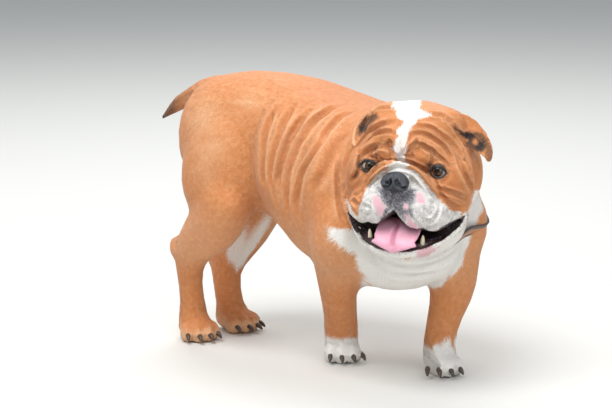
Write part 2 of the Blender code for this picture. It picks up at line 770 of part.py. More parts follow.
# Where the flesh is parted
NOSE = ((47, 0, -16), (19, 23, 16))     # the middle and half sizes of the ball that takes the nose leather
NOSE_TILT = -12.0
NOSTRIL_PLACE = (52, 10.5, -17)
NOSTRIL_RADII = (11, 3.6, 4.6)
FORELEG_CUT = ((0.030, -0.05), (0.030, 0.098), (0.062, 0.128), (0.160, 0.186), (0.30, 0.186), (0.30, -0.05))
HINDLEG_CUT = ((0.003, -0.05), (0.003, 0.182), (0.055, 0.262), (0.088, 0.352), (0.30, 0.352), (0.30, -0.05))
CHEST_PLACE = (0.160, -0.036, 0.0)      # the point that the forehand turns about
HIP_MIDDLE = (0.0, 0.014, 0.0)
NECK_CUT = ((-110, 120), (-46, -136), (100, -136), (100, 120))     # x and z, in the head's frame
HEAD_REACH = (-100, 114)                                            # from its right to its left
JAW_CUT = ((75, -86), (-26, -66), (-40, -84), (-30, -124), (0, -146), (75, -150))
SHOULDER_CUT = ((0.118, 0.0, 0.40), (0.236, 0.0, 0.13))
SHOULDER_PLACE = (0.0, -0.03, 0.0)
SHOULDER_CUT_TURN = -22.0
FOREPAW_TOP = 0.050
HINDPAW_TOP = 0.044
TAIL_CUT = ((-0.193, 0.392), (-0.196, 0.430), (-0.330, 0.430), (-0.330, 0.250), (-0.2105, 0.334))
TAIL_SIDES = (-0.030, 0.062)


def slab(name, top, foot, back, wide, frame):
    """A thick slab behind the line from top to foot, in a plane of constant y."""
    (x1, _, z1), (x2, _, z2) = top, foot
    run = Vector((x1 - x2, 0, z1 - z2)).normalized()
    behind = Vector((-run.z, 0, run.x))
    if behind.x > 0:
        behind = -behind
    a = Vector(top) + run * wide
    b = Vector(foot) - run * wide
    outline = [a, b, b + behind * back, a + behind * back]
    outline = [p - Vector((0, wide, 0)) for p in outline]
    return prism(name, outline, (0, 2 * wide, 0), frame)


def leg_cutter(name, side, outline, x, length, frame):
    """A prism along x whose outline in y and z takes one leg from the trunk."""
    return prism(name, [(x, side * y, z) for y, z in outline], (length, 0, 0), frame)


def stand_centred(things):
    """Moves everything so that the origin is under the middle of the whole."""
    places = [vertex.co for thing in things for vertex in thing.data.vertices]
    middle = [0.5 * (min(p[k] for p in places) + max(p[k] for p in places)) for k in range(2)]
    for thing in things:
        thing.data.transform(Matrix.Translation((-middle[0], -middle[1], 0.0)))


def build():
    clear_scene()
    flesh = thinned(make_skin())
    tan = coat_material("coat", COAT)
    dark = coat_material("coat_dark", COAT_DARK)
    white = coat_material("coat_white", WHITE_COAT)
    leather = coat_material("nose_leather", BLACK, 0.45)
    horn = coat_material("claw_horn", (0.05, 0.045, 0.04), 0.4)
    wet = coat_material("tongue_skin", (0.80, 0.32, 0.33), 0.35)
    glass = coat_material("eye", (0.10, 0.05, 0.02), 0.1)
    strap = coat_material("collar_leather", (0.35, 0.20, 0.12), 0.5)

    take(flesh, box("floor", (-0.6, -0.6, -0.2), (1.2, 1.2, 0.2)))
    pieces = {}

    # collar
    collar = make_collar(flesh)
    pieces["collar"] = (collar, strap)
    clear(flesh, collar)

    # mouth, lids, eyes, tongue, nose
    open_mouth(flesh)
    open_lids(flesh)
    for side, (y, z) in EYES.items():
        name = "eye_" + side
        pieces[name] = (ball(name, (EYE_DEPTH, y, z), (EYE_RADIUS / MM,) * 3, HEAD, rings=9), glass)
    tongue = make_tongue()
    pieces["tongue"] = (tongue, wet)
    clear(flesh, tongue)
    nose_cutter = ball("nose_cutter", *NOSE, HEAD, (0, NOSE_TILT, 0), rings=9)
    nose = part_off(flesh, nose_cutter, "nose")
    for place, side in mirrored(NOSTRIL_PLACE):
        turn = (side * 24, 0, side * 22)
        take(nose, ball("nostril", place, NOSTRIL_RADII, HEAD, turn, rings=6))
    pieces["nose"] = (nose, leather)
    for name in EARS:
        ear = make_ear(name)
        clear(ear, flesh)
        pieces["ear_" + name] = (keep_largest(ear), dark)

    # head, jaw and neck
    right, left = HEAD_REACH
    head_cutter = prism("head_cutter", [(x, right, z) for x, z in NECK_CUT], (0, left - right, 0), HEAD)
    head = part_off(flesh, head_cutter, "head")
    jaw_cutter = prism("jaw_cutter", [(x, -130, z) for x, z in JAW_CUT], (0, 260, 0), HEAD)
    take(jaw_cutter, ball("jaw_bound", (-6, 6, -86), (70, 85, 46), HEAD, rings=14), "INTERSECT")
    jaw = part_off(head, jaw_cutter, "lower_jaw")
    keep_largest(take(jaw, make_gum(), "UNION"))
    pieces["head"] = (head, tan)
    pieces["lower_jaw"] = (jaw, white)

    # legs and paws
    chest = Matrix.Translation(CHEST_PLACE) @ turn_z(FOREHAND_TURN)
    hips = Matrix.Translation(HIP_MIDDLE)
    for fore, legs, outline, back_x, length, frame, top in (
        ("fore", FORELEGS, FORELEG_CUT, -0.130, 0.260, chest, FOREPAW_TOP),
        ("hind", HINDLEGS, HINDLEG_CUT, -0.300, 0.268, hips, HINDPAW_TOP),
    ):
        for side, name in ((1, "left"), (-1, "right")):
            cutter = leg_cutter("leg_cutter", side, outline, back_x, length, frame)
            leg = part_off(flesh, cutter, fore + "leg_" + name)
            low = box("paw_cutter", (-0.4, -0.4, -0.05), (0.9, 0.8, 0.05 + top))
            paw = part_off(leg, low, fore + "paw_" + name)
            take(paw, claws(legs[name]), "UNION")
            pieces[leg.name] = (leg, tan)
            pieces[paw.name] = (keep_largest(paw), white)

    outline = [(x, TAIL_SIDES[0], z) for x, z in TAIL_CUT]
    tail_cutter = prism("tail_cutter", outline, (0, TAIL_SIDES[1] - TAIL_SIDES[0], 0))
    tail = part_off(flesh, tail_cutter, "tail")
    pieces["tail"] = (tail, dark)
    shoulders = Matrix.Translation(SHOULDER_PLACE) @ turn_z(SHOULDER_CUT_TURN)
    neck_cutter = slab("chest_cutter", *SHOULDER_CUT, 0.6, 0.4, shoulders)
    trunk = part_off(flesh, neck_cutter, "torso")
    pieces["neck"] = (flesh, tan)
    pieces["torso"] = (trunk, tan)
    for name, (thing, material) in pieces.items():
        thing.name = name
        thing.data.materials.clear()
        thing.data.materials.append(material)
    stand_centred([thing for thing, _ in pieces.values()])


build()
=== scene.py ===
import math

import bmesh
import bpy
import numpy as np
from mathutils import Matrix, Vector
from mathutils.bvhtree import BVHTree


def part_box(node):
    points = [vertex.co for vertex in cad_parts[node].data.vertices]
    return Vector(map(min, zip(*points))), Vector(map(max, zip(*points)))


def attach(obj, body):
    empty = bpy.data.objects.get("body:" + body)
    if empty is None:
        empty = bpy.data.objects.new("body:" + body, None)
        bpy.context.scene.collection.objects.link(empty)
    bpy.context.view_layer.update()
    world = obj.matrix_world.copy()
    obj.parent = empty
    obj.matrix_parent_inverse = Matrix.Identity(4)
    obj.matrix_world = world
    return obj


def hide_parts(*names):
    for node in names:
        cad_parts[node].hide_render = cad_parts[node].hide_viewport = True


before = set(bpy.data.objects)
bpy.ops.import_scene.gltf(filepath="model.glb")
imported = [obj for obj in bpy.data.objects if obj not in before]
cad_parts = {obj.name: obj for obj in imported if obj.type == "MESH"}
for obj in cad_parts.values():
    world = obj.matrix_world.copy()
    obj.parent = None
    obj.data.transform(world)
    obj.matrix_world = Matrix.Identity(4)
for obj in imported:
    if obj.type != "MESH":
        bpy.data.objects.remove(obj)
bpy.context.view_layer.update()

# Camera
# A long lens about four metres off, a little above the dog's back, on the dog's right and ahead.
# Its rays also carry the photograph's fold lines and markings on to the skin below.

FRAME_PIXELS = (612, 408)
FOCAL_PIXELS = 2680.0
SENSOR_MM = 36.0
CAMERA_AIM = Vector((-0.045, 0.038, 0.220))
CAMERA_AZIMUTH = -60.0
CAMERA_HEIGHT = 10.0
CAMERA_DISTANCE = 4.0

azimuth = math.radians(CAMERA_AZIMUTH)
height = math.radians(CAMERA_HEIGHT)
back = Vector((
    math.cos(height) * math.cos(azimuth), math.cos(height) * math.sin(azimuth), math.sin(height)
))
bpy.ops.object.select_all(action="DESELECT")
bpy.ops.object.camera_add(
    location=CAMERA_AIM + back * CAMERA_DISTANCE, rotation=(-back).to_track_quat("-Z", "Y").to_euler()
)
camera = bpy.context.object
camera.data.sensor_width = SENSOR_MM
camera.data.lens = SENSOR_MM * FOCAL_PIXELS / FRAME_PIXELS[0]
bpy.context.scene.camera = camera
bpy.context.view_layer.update()
CAMERA_PLACE = camera.matrix_world.translation.copy()
CAMERA_TURN = camera.matrix_world.to_3x3()


def through(pixel):
    """The direction of the camera's ray through a pixel of the photograph."""
    right = (pixel[0] - FRAME_PIXELS[0] / 2) / FOCAL_PIXELS
    up = (FRAME_PIXELS[1] / 2 - pixel[1]) / FOCAL_PIXELS
    return (CAMERA_TURN @ Vector((right, up, -1.0))).normalized()


def pixels_of(points):
    """Where each point falls in the photograph's frame."""
    seen = (points - np.array(CAMERA_PLACE)) @ np.array(CAMERA_TURN)
    scale = FOCAL_PIXELS / -seen[:, 2]
    return np.stack([
        FRAME_PIXELS[0] / 2 + seen[:, 0] * scale, FRAME_PIXELS[1] / 2 - seen[:, 1] * scale
    ], axis=1)


# Skin
# The dog's whole hide in one closed surface, from nose roll to tail tip: loose skin over muscle.
# It is cast from the solids of flesh, evened, folded along the lines seen, and lies a coat's depth in.

FLESH = (
    "torso", "neck", "head", "lower_jaw", "tail", "ear_left", "ear_right",
    "foreleg_left", "foreleg_right", "hindleg_left", "hindleg_right",
    "forepaw_left", "forepaw_right", "hindpaw_left", "hindpaw_right",
)
SEAM = 0.0007               # more than half the thin cuts between the solids
SKIN_STEP = 0.0016
HEAD_TURN = -80.0
HEAD_PITCH = 3.0
HEAD_ROLL = 3.0
EYES = {"left": (-2.0, 50.5, 0.0), "right": (-2.0, -50.5, -2.5)}      # mm, in the head's own frame
FACE_MIDDLE = (-10.0, 0.0, -20.0)
FACE_REACH = (95.0, 130.0)
LIDS_REACH = 20.0
EAR_MARGIN = 0.004
BROAD_STEP = 0.006          # the trunk and legs are cast again this coarsely, which leaves no facets
PAW_TOP = (0.048, 0.080)
TAIL_START = (-0.225, -0.250)
BROAD_ROUNDS = 14
BODY_ROUNDS = 12
HEAD_ROUNDS = 9
HEAD_PUSH = -0.54
EAR_HELD = 0.7              # how much less the ears are evened with the body
LIDS_STILL = 0.8            # and the lids and ears with the head
EAR_STILL = 0.6


def middle_of(node):
    """The middle of a node's box."""
    low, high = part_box(node)
    return (Vector(low) + Vector(high)) / 2


head_turn = (
    Matrix.Rotation(math.radians(HEAD_TURN), 3, "Z")
    @ Matrix.Rotation(math.radians(-HEAD_PITCH), 3, "Y")
    @ Matrix.Rotation(math.radians(-HEAD_ROLL), 3, "X")
)
HEAD_AXES = np.array(head_turn)
EYES_MIDDLE = (np.array(EYES["left"]) + np.array(EYES["right"])) / 2
BETWEEN_EYES = (middle_of("eye_left") + middle_of("eye_right")) / 2
HEAD_PLACE = np.array(BETWEEN_EYES) - HEAD_AXES @ EYES_MIDDLE * 0.001


def to_head(points):
    """Places in the head's own frame: mm forwards, to its left and up from between the eyes."""
    return (np.asarray(points) - HEAD_PLACE) @ HEAD_AXES * 1000


def from_head(points):
    """Places given in the head's own frame, in the dog's."""
    return HEAD_PLACE + np.asarray(points, float) @ HEAD_AXES.T * 0.001


def choose(*things):
    """Selects these objects alone, the first of them active."""
    bpy.ops.object.select_all(action="DESELECT")
    for thing in things:
        thing.select_set(True)
    bpy.context.view_layer.objects.active = things[0]


def node_copy(node, name):
    """A copy of a node's mesh with its loose triangles merged."""
    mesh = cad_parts[node].data.copy()
    made = bpy.data.objects.new(name, mesh)
    bpy.context.scene.collection.objects.link(made)
    choose(made)
    bpy.ops.object.mode_set(mode="EDIT")
    bpy.ops.mesh.select_all(action="SELECT")
    bpy.ops.mesh.remove_doubles(threshold=0.00001)
    bpy.ops.object.mode_set(mode="OBJECT")
    return made


def finish_with(thing, kind, **settings):
    """Adds a modifier with its settings and applies it."""
    modifier = thing.modifiers.new(kind.lower(), kind)
    for name, value in settings.items():
        setattr(modifier, name, value)
    choose(thing)
    bpy.ops.object.modifier_apply(modifier=modifier.name)


def surface_of(thing):
    """A search tree of the object's faces as they are now."""
    return BVHTree.FromObject(thing, bpy.context.evaluated_depsgraph_get())


def joined(name, things):
    """The things as one object, of this name."""
    choose(*things)
    bpy.ops.object.join()
    made = bpy.context.object
    made.name = name
    return made


parts = [node_copy(node, "cast_" + node) for node in FLESH]
for part in parts:
    finish_with(part, "DISPLACE", strength=SEAM, mid_level=0.0)
skin = joined("skin", parts)
finish_with(skin, "REMESH", mode="VOXEL", voxel_size=SKIN_STEP)


def largest_shell(thing):
    """Drops every loose shell but the largest."""
    mesh = thing.data
    edges = np.empty(len(mesh.edges) * 2, np.int64)
    mesh.edges.foreach_get("vertices", edges)
    edges = edges.reshape(-1, 2)
    label = np.arange(len(mesh.vertices))
    while True:
        lowest = np.minimum(label[edges[:, 0]], label[edges[:, 1]])
        new = label.copy()
        np.minimum.at(new, edges[:, 0], lowest)
        np.minimum.at(new, edges[:, 1], lowest)
        new = new[new]
        if (new == label).all():
            break
        label = new
    names, counts = np.unique(label, return_counts=True)
    keep = label == names[counts.argmax()]
    shell = bmesh.new()
    shell.from_mesh(mesh)
    shell.verts.ensure_lookup_table()
    bmesh.ops.delete(shell, geom=[shell.verts[i] for i in np.nonzero(~keep)[0]], context="VERTS")
    shell.to_mesh(mesh)
    shell.free()


largest_shell(skin)


def mesh_arrays(mesh):
    """The mesh's points and edges."""
    points = np.empty(len(mesh.vertices) * 3)
    mesh.vertices.foreach_get("co", points)
    edges = np.empty(len(mesh.edges) * 2, np.int64)
    mesh.edges.foreach_get("vertices", edges)
    return points.reshape(-1, 3), edges.reshape(-1, 2)


def normals_of(mesh, points):
    """Moves the mesh to the points and gives its normals there."""
    mesh.vertices.foreach_set("co", points.ravel())
    mesh.update()
    found = np.empty(len(points) * 3)
    mesh.vertex_normals.foreach_get("vector", found)
    return found.reshape(-1, 3)


def unit(vectors):
    """The vectors' directions."""
    return vectors / np.maximum(np.linalg.norm(vectors, axis=1), 1e-9)[:, None]


def neighbour_mean(values, edges, count):
    """The mean of each point's neighbours."""
    i, j = edges.T
    total = np.stack([
        np.bincount(i, values[j, k], count) + np.bincount(j, values[i, k], count)
        for k in range(values.shape[1])
    ], axis=1)
    return total / np.maximum(np.bincount(edges.ravel(), minlength=count), 1)[:, None]


def evened(points, edges, rounds, share, push=-0.53):
    """Smooths out facets and keeps the volume. The share is how much each point moves."""
    points = points.copy()
    for _ in range(rounds):
        for factor in (0.5, push):
            points += (factor * share)[:, None] * (neighbour_mean(points, edges, len(points)) - points)
    return points


def smooth_step(low, high, values):
    """A soft step from 0 at low to 1 at high."""
    t = np.clip((values - low) / (high - low), 0, 1)
    return t * t * (3 - 2 * t)


def distance(places, middle):
    """How far each place is from the middle."""
    return np.linalg.norm(places - np.array(middle), axis=1)


points, edges = mesh_arrays(skin.data)
local = to_head(points)
face = 1 - smooth_step(*FACE_REACH, distance(local, FACE_MIDDLE))
near_eye = np.min([distance(local, place) for place in EYES.values()], axis=0)
fine = np.exp(-((near_eye / LIDS_REACH) ** 4))
on_ear = np.zeros(len(points))
for side in ("left", "right"):
    low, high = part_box("ear_" + side)
    out = np.maximum(np.maximum(np.array(low) - points, points - np.array(high)), 0).max(1)
    on_ear = np.maximum(on_ear, smooth_step(2 * EAR_MARGIN, 0.5 * EAR_MARGIN, out))

broad = bpy.data.objects.new("broad", skin.data.copy())
bpy.context.scene.collection.objects.link(broad)
finish_with(broad, "REMESH", mode="VOXEL", voxel_size=BROAD_STEP)
broad_points, broad_edges = mesh_arrays(broad.data)
broad_points = evened(broad_points, broad_edges, BROAD_ROUNDS, np.ones(len(broad_points)))
normals_of(broad.data, broad_points)
finish_with(broad, "SUBSURF", levels=1, render_levels=1)
broad_tree = surface_of(broad)
bpy.data.objects.remove(broad)
use_broad = (
    (1 - face) * (1 - on_ear) * smooth_step(*PAW_TOP, points[:, 2])
    * smooth_step(TAIL_START[1], TAIL_START[0], points[:, 0])
)
moved = np.nonzero(use_broad > 0.01)[0]
form = np.array([broad_tree.find_nearest(place)[0] for place in points[moved]])
points[moved] += (form - points[moved]) * use_broad[moved, None]
points = evened(points, edges, BODY_ROUNDS, (1 - face) * (1 - EAR_HELD * on_ear))
still = np.maximum(LIDS_STILL * fine, EAR_STILL * on_ear)
points = evened(points, edges, HEAD_ROUNDS, face * (1 - still) + 1e-6, HEAD_PUSH)
normals = normals_of(skin.data, points)

# Folds
# Loose skin creased by the turn of the body: long furrows on the flank, short ones on brow and cheek.
# Each is a line of photograph pixels, or of places on the head, with its width and depth in mm.

PIXEL_STEP = 0.7            # how closely a line of pixels is followed
LIP_PLACE = 2.1             # where the roll's crest lies, in widths from the line
LIP_WIDTH = 0.9
LIP_END = 6                 # the roll ends this many widths from the line
LINE_MARGIN = 0.03          # no place further than this from a line's box is measured
END_DEPTH = 0.15            # how deep a furrow still is at its ends
PAIRS_AT_ONCE = 4000000
FLANK_FURROWS = (
    ((274, 107.5), (271, 113.5), (268, 122.5), (265.6, 130), (264, 136), (263, 145), (262.3, 156),
     (262, 167.5), (262.6, 179), (264, 186), (265, 192)),
    ((294, 104.5), (290, 110), (284, 121), (281.8, 125.5), (278.8, 134.5), (275.8, 142), (273.5, 149),
     (271.6, 156), (270, 164.5), (269.4, 173.5), (270, 182.5), (271.3, 191.5), (272.8, 197.5)),
    ((309.5, 110), (304, 115), (300, 120), (293, 131.5), (290, 137.5), (287, 144), (284, 152.5),
     (281.8, 160), (279.5, 167.5), (278, 175), (277.3, 184), (277.3, 191.5)),
    ((341, 103), (331, 107.5), (324.5, 113), (318.5, 117), (312.5, 123), (307, 129), (303, 136),
     (298, 143), (295, 150), (291.5, 158.5), (289, 166), (287, 173.5), (286, 182.5), (285.5, 197.5),
     (287, 212.5), (289, 220)),
    ((354, 109), (345.5, 113), (339.5, 116.5), (334, 122), (330, 127), (325, 133), (321.5, 140.5),
     (317, 146), (312.5, 152.5), (308, 160), (304, 167.5), (301, 174), (299, 182), (297.5, 190),
     (296.4, 197.5), (295, 205), (296, 219)),
)
SHOULDER_FURROWS = (
    ((348.5, 128.5), (342.5, 136), (337, 142), (333.5, 150), (329, 158.5), (324.5, 166), (321, 173.5),
     (317, 179), (312.5, 186), (310, 194)),
)
NECK_FURROWS = (
    ((340, 156), (339, 167.5), (339, 182.5), (339.5, 197.5), (342, 212.5), (345.5, 224)),
    ((348, 155.5), (345.5, 166), (344, 179), (344, 190), (346, 201), (349, 211), (354, 219)),
)
DEWLAP_FURROWS = (
    ((356, 224), (362, 240), (370, 252), (384, 262), (400, 268), (418, 269), (436, 265), (452, 256),
     (464, 242)),
    ((362, 250), (376, 264), (396, 274), (418, 276), (438, 272)),
)
NOSE_ROLL_EDGES = (
    ((361, 196), (363, 188), (366, 180), (371, 173), (378, 166.5), (386, 163), (398, 161.2), (410, 163),
     (420, 166), (427, 171), (432, 178), (436, 186), (440, 193), (445, 203)),
    ((364, 198), (367, 190), (370, 184), (374, 179), (380, 174), (388, 169), (397, 167), (405, 168.5),
     (413, 172), (420, 178), (426, 185), (431, 191), (436, 198), (441, 205), (448, 211)),
)
LID_CREASES = (
    ((381, 143), (378, 147), (376, 150), (376.5, 155), (377, 161)),
    ((378, 154), (381, 159), (387, 161), (394, 160)),
    ((426.7, 147.5), (431, 149), (434, 152.5), (433, 156), (432, 161), (430, 166)),
    ((434, 152.5), (439, 157), (444, 161), (447.5, 166), (450, 170)),
    ((363, 164), (366, 158.5), (371, 156.5), (375, 158)),
    ((416, 137), (416, 142), (414, 145), (411, 147.5), (407.5, 152), (406, 157)),
)
UNDER_EYE = (
    ((430, 178.5), (436, 182), (443, 181.5), (450, 176)),
    ((364.5, 172), (367, 178), (371, 182)),
)
TEMPLE_FURROWS = (
    ((452.5, 147), (457, 153), (460, 160), (462, 167), (465, 174), (469, 182), (472, 188), (473, 195)),
    ((360, 153), (359, 163), (358, 170), (355, 176), (351, 181)),
    ((381, 142), (375, 147), (368, 151), (364, 155), (361, 160), (360.5, 166), (362, 172), (365, 179)),
)
CHEEK_FURROWS = (
    ((439, 188), (443, 190), (451, 192.5), (461, 196), (470, 199)),
    ((439, 191), (442, 197), (447, 202), (453, 206), (461, 209)),
    ((351, 196), (354, 194.6), (359, 192.5), (362.5, 190)),
    ((351.7, 199), (355, 203), (358, 206)),
)
SWIRLS = (
    ((416.7, 213), (420, 218), (426.7, 221.7), (433, 220), (437.5, 214), (439, 208), (434, 203),
     (426.7, 200)),
    ((412.5, 220), (417.5, 226.7), (426.7, 229), (436, 227.5), (444, 221.7)),
    ((424, 207.5), (426, 212), (430, 214.5), (433, 212)),
    ((362, 208), (365, 206), (369, 209), (368, 214), (364, 216)),
)
EAR_HOLLOWS = (
    ((375, 116), (369, 120), (365, 125), (362, 130), (360, 136)),
    ((460, 133), (467, 137), (474, 142), (480, 148)),
)
EAR_EDGES = (
    ((377, 108), (371, 111), (365, 116), (359, 123), (355, 131), (354, 139), (355, 145)),
    ((455, 129), (463, 133), (470, 133), (476, 136), (481, 142), (484, 150)),
)
PHILTRUM = (((392.7, 188), (392.4, 194), (392, 203), (391.8, 210)),)
BROW_FURROWS = (
    ((14, 10, 15), (14, 9.5, 27), (12, 16, 36), (11, 28, 34), (9, 42, 27), (8, 45, 22)),
    ((8, 6, 37.5), (5, 13, 47), (3, 27, 46), (0, 47.5, 35.5), (-4, 59, 17), (-6, 63, -3)),
    ((-2, 10, 57), (-5, 30, 56), (-12, 49, 43), (-18, 66, 25), (-22, 78, 3), (-22, 83, -16)),
    ((-18, 13, 70), (-20, 33, 71), (-26, 49, 61), (-30, 64, 46), (-32, 77, 22), (-34, 84, -3)),
    ((14, -13, 12), (13, -18, 27), (10, -35, 25), (8, -41, 18.5)),
    ((4, -13, 41), (2, -31, 41.5), (-1, -46, 34), (-6, -62, 18), (-8, -67, 3)),
    ((-10, -21.5, 55.5), (-14, -40, 50), (-18, -58, 40), (-22, -76, 18), (-24, -82, -6)),
    ((-24, -22, 70), (-28, -40, 66), (-32, -58, 54), (-34, -72, 34)),
)


def smooth_path(rows, step=0.001):
    """Places about a step apart on a smooth curve through the rows."""
    rows = np.asarray(rows, float)
    rows = np.vstack([2 * rows[0] - rows[1], rows, 2 * rows[-1] - rows[-2]])
    found = []
    for i in range(1, len(rows) - 2):
        a, b, c, d = rows[i - 1:i + 3]
        count = max(2, int(np.linalg.norm(c - b) / step))
        t = (np.arange(count) / count)[:, None]
        found.append(0.5 * (2 * b + (c - a) * t + (2 * a - 5 * b + 4 * c - d) * t**2
                            + (3 * b - a - 3 * c + d) * t**3))
    return np.vstack([*found, rows[-2:-1]])


tree = surface_of(skin)


def traced(pixels, tree):
    """The pixels' smooth line as places on a surface, where the camera's rays meet it."""
    hits = [tree.ray_cast(CAMERA_PLACE, through(pixel))[0] for pixel in smooth_path(pixels, PIXEL_STEP)]
    return np.array([hit for hit in hits if hit is not None])


def laid(places, tree):
    """A line given in the head's frame, laid on a surface."""
    return np.array([tree.find_nearest(Vector(place))[0] for place in smooth_path(from_head(places))])


FURROWS = []
for lines, width, depth, lip in (
    (FLANK_FURROWS, 4.3, 6.6, 0.30), (SHOULDER_FURROWS, 8.0, 3.0, 0.4), (NECK_FURROWS, 3.8, 3.6, 0.45),
    (DEWLAP_FURROWS, 4.5, 2.6, 0.4), (NOSE_ROLL_EDGES, 2.6, 5.0, 0.45), (LID_CREASES, 2.2, 3.6, 0.35),
    (UNDER_EYE, 2.3, 1.8, 0.4), (TEMPLE_FURROWS, 3.4, 6.4, 0.4), (CHEEK_FURROWS, 2.7, 4.4, 0.45),
    (SWIRLS, 2.4, 2.2, 0.6), (PHILTRUM, 1.7, 2.2, 0.2), (EAR_HOLLOWS, 3.4, 1.4, 0.2),
):
    # the width and depth in mm, and how high the skin rolls up beside the furrow
    FURROWS += [(traced(line, tree), width, depth, lip) for line in lines]
FURROWS += [(laid(line, tree), 2.8, 4.6, 0.5) for line in BROW_FURROWS]
RIDGES = [(traced(line, tree), 2.6, 2.6) for line in EAR_EDGES]


def distance_along(points, path):
    """Each point's distance to the path in mm, and its share of the way along it."""
    gaps = np.full(len(points), 1e3)
    share = np.zeros(len(points))
    low, high = path.min(0) - LINE_MARGIN, path.max(0) + LINE_MARGIN
    near = np.nonzero(((points > low) & (points < high)).all(1))[0]
    for block in np.array_split(near, max(1, len(near) * len(path) // PAIRS_AT_ONCE)):
        if len(block):
            away = np.linalg.norm(points[block][:, None] - path[None], axis=2)
            gaps[block] = away.min(1) * 1000
            share[block] = away.argmin(1) / max(1, len(path) - 1)
    return gaps, share


def furrow_shape(points, path, width, taper=0.18):
    """How much each point lies in the furrow, and on the rolls beside it, fading at both ends."""
    gaps, share = distance_along(points, path)
    fade = smooth_step(0, taper, share) * smooth_step(0, taper, 1 - share)
    fade = END_DEPTH + (1 - END_DEPTH) * fade
    trough = np.exp(-((gaps / width) ** 2)) * fade
    crest = np.exp(-(((gaps - LIP_PLACE * width) / (LIP_WIDTH * width)) ** 2)) * fade
    return trough, np.where(gaps > LIP_END * width, 0, crest)


def press(points, normals, path, width, depth, lip, taper=0.18):
    """Presses a furrow of this width and depth into the points, and gives its trough and rolls."""
    trough, crest = furrow_shape(points, path, width, taper)
    points += normals * ((lip * crest - trough) * depth * 0.001)[:, None]
    return trough, crest


def softened(points, edges):
    """Takes the sharpness off fresh folds."""
    return evened(points, edges, 2, np.ones(len(points)), -0.5)


creased = np.zeros(len(points))
for path, width, depth, lip in FURROWS:
    creased = np.maximum(creased, np.maximum(*press(points, normals, path, width, depth, lip)))
for path, width, height in RIDGES:
    points += normals * (furrow_shape(points, path, width)[0] * height * 0.001)[:, None]
points = softened(points, edges)
normals = normals_of(skin.data, points)

COAT_DEPTH = 0.0011
HEAD_COAT_DEPTH = 0.0005
THIN_DEPTH = 0.0004         # at the lids and on the ears
sink = SEAM + COAT_DEPTH + (HEAD_COAT_DEPTH - COAT_DEPTH) * face
thin = np.maximum(fine, on_ear)
sink = sink * (1 - thin) + THIN_DEPTH * thin
points -= normals * sink[:, None]
points[:, 2] = np.maximum(points[:, 2], 0.0)
normals_of(skin.data, points)

# The head keeps its fine mesh, and the rest is thinned.
SKIN_TRIANGLES = 180000
CREASES_KEPT = 0.85
LEVELS = 10
body = skin.vertex_groups.new(name="body")
whole = np.minimum(1 - face, 1 - on_ear) * (1 - CREASES_KEPT * creased)
for level in range(LEVELS + 1):
    chosen = np.nonzero(np.round(whole * LEVELS) == level)[0]
    if len(chosen):
        body.add(chosen.tolist(), level / LEVELS, "REPLACE")
finish_with(
    skin, "DECIMATE", ratio=SKIN_TRIANGLES / (2 * len(skin.data.polygons)), vertex_group="body",
    vertex_group_factor=1.0, use_collapse_triangulate=True,
)
skin.vertex_groups.clear()
choose(skin)
bpy.ops.object.shade_smooth()

# Markings
# Tan, redder along the back and paler on the rump, with a white blaze, muzzle, breast, belly and feet.
# The muzzle's white is speckled black and patched pink. Edges are outlines in photograph pixels.

BLAZE = (
    (396.5, 161), (396, 155), (392.5, 148), (395, 143), (398, 137), (395, 131), (401, 127), (403, 121),
    (396, 117), (397, 110), (392, 102), (392, 94), (422, 94), (420, 102), (419, 110), (428, 113.5),
    (431, 116), (424, 118), (418, 121), (414, 126), (409, 131), (409, 137), (406.5, 143), (405.5, 147),
    (405, 155), (405, 161), (411, 165.5), (402, 168), (392, 168), (385, 166.5),
)
CROWN_BLAZE = ((-30, -15, 80), (-48, -17, 84), (-66, -18, 80), (-84, -17, 66))    # in the head's frame
CROWN_BLAZE_WIDTH = (19.0, 7.0)         # mm, half of it, at the front and back of the crown
MUZZLE = (
    (396, 166.5), (388, 168), (380, 173), (374, 178.5), (369, 185), (366, 192), (362, 200), (359, 208),
    (358, 216), (360, 225), (365, 231), (372, 233), (379, 230), (385, 222), (391, 213), (397, 217),
    (404, 225), (412, 231), (420, 236), (430, 238), (440, 236), (448, 230), (454, 224), (459, 218),
    (462, 212), (456, 211), (450, 211), (446, 207), (441, 202), (436, 196), (430, 189), (425, 183),
    (419, 176), (413, 171), (405, 167.5),
)
BREAST = (
    (347, 200), (351, 215), (353, 233), (357, 255), (360, 285), (366, 296), (400, 298), (425, 290),
    (438, 279), (452, 273), (461, 268), (464, 258), (470, 240), (476, 222), (483, 203), (480, 190),
    (474, 190), (471, 203), (464, 216), (452, 236), (438, 247), (409, 258), (382, 250), (362, 224),
)
HOCK_WHITE = (
    (224, 240), (232, 226), (248, 222), (262, 212), (274, 210), (272, 225), (262, 240), (250, 252),
    (244, 267), (236, 272), (228, 262),
)
SPECKLED = (
    (379, 189), (413, 189), (416, 196), (410, 206), (413, 217), (405, 220), (398, 213), (392, 206),
    (388, 214), (383, 220), (379, 214), (386, 206), (382, 199),
)
PINK = (
    ((373, 196), (377, 195), (381, 200), (385.4, 205), (383, 215), (379, 215), (377, 207.5), (373, 202.5)),
    ((404, 202), (407, 202), (407.5, 208), (404.5, 208.5)),
    ((404, 213), (408, 214), (414, 222), (421, 229), (417, 231), (409, 226)),
    ((415, 193), (422, 192), (424, 202), (417, 204)),
)
LIP_PINK = ((417, 248), (424, 246), (432, 244), (436, 249), (429, 256), (417, 258))
JAW_WHITE = (
    (434, 253), (447, 246), (458, 235), (466, 223), (470, 214), (463, 213), (458, 223), (450, 234),
    (440, 243),
)
RUMP_PALE = (((205, 118), 42.0), ((212, 150), 34.0), ((255, 100), 26.0), ((206, 175), 22.0))
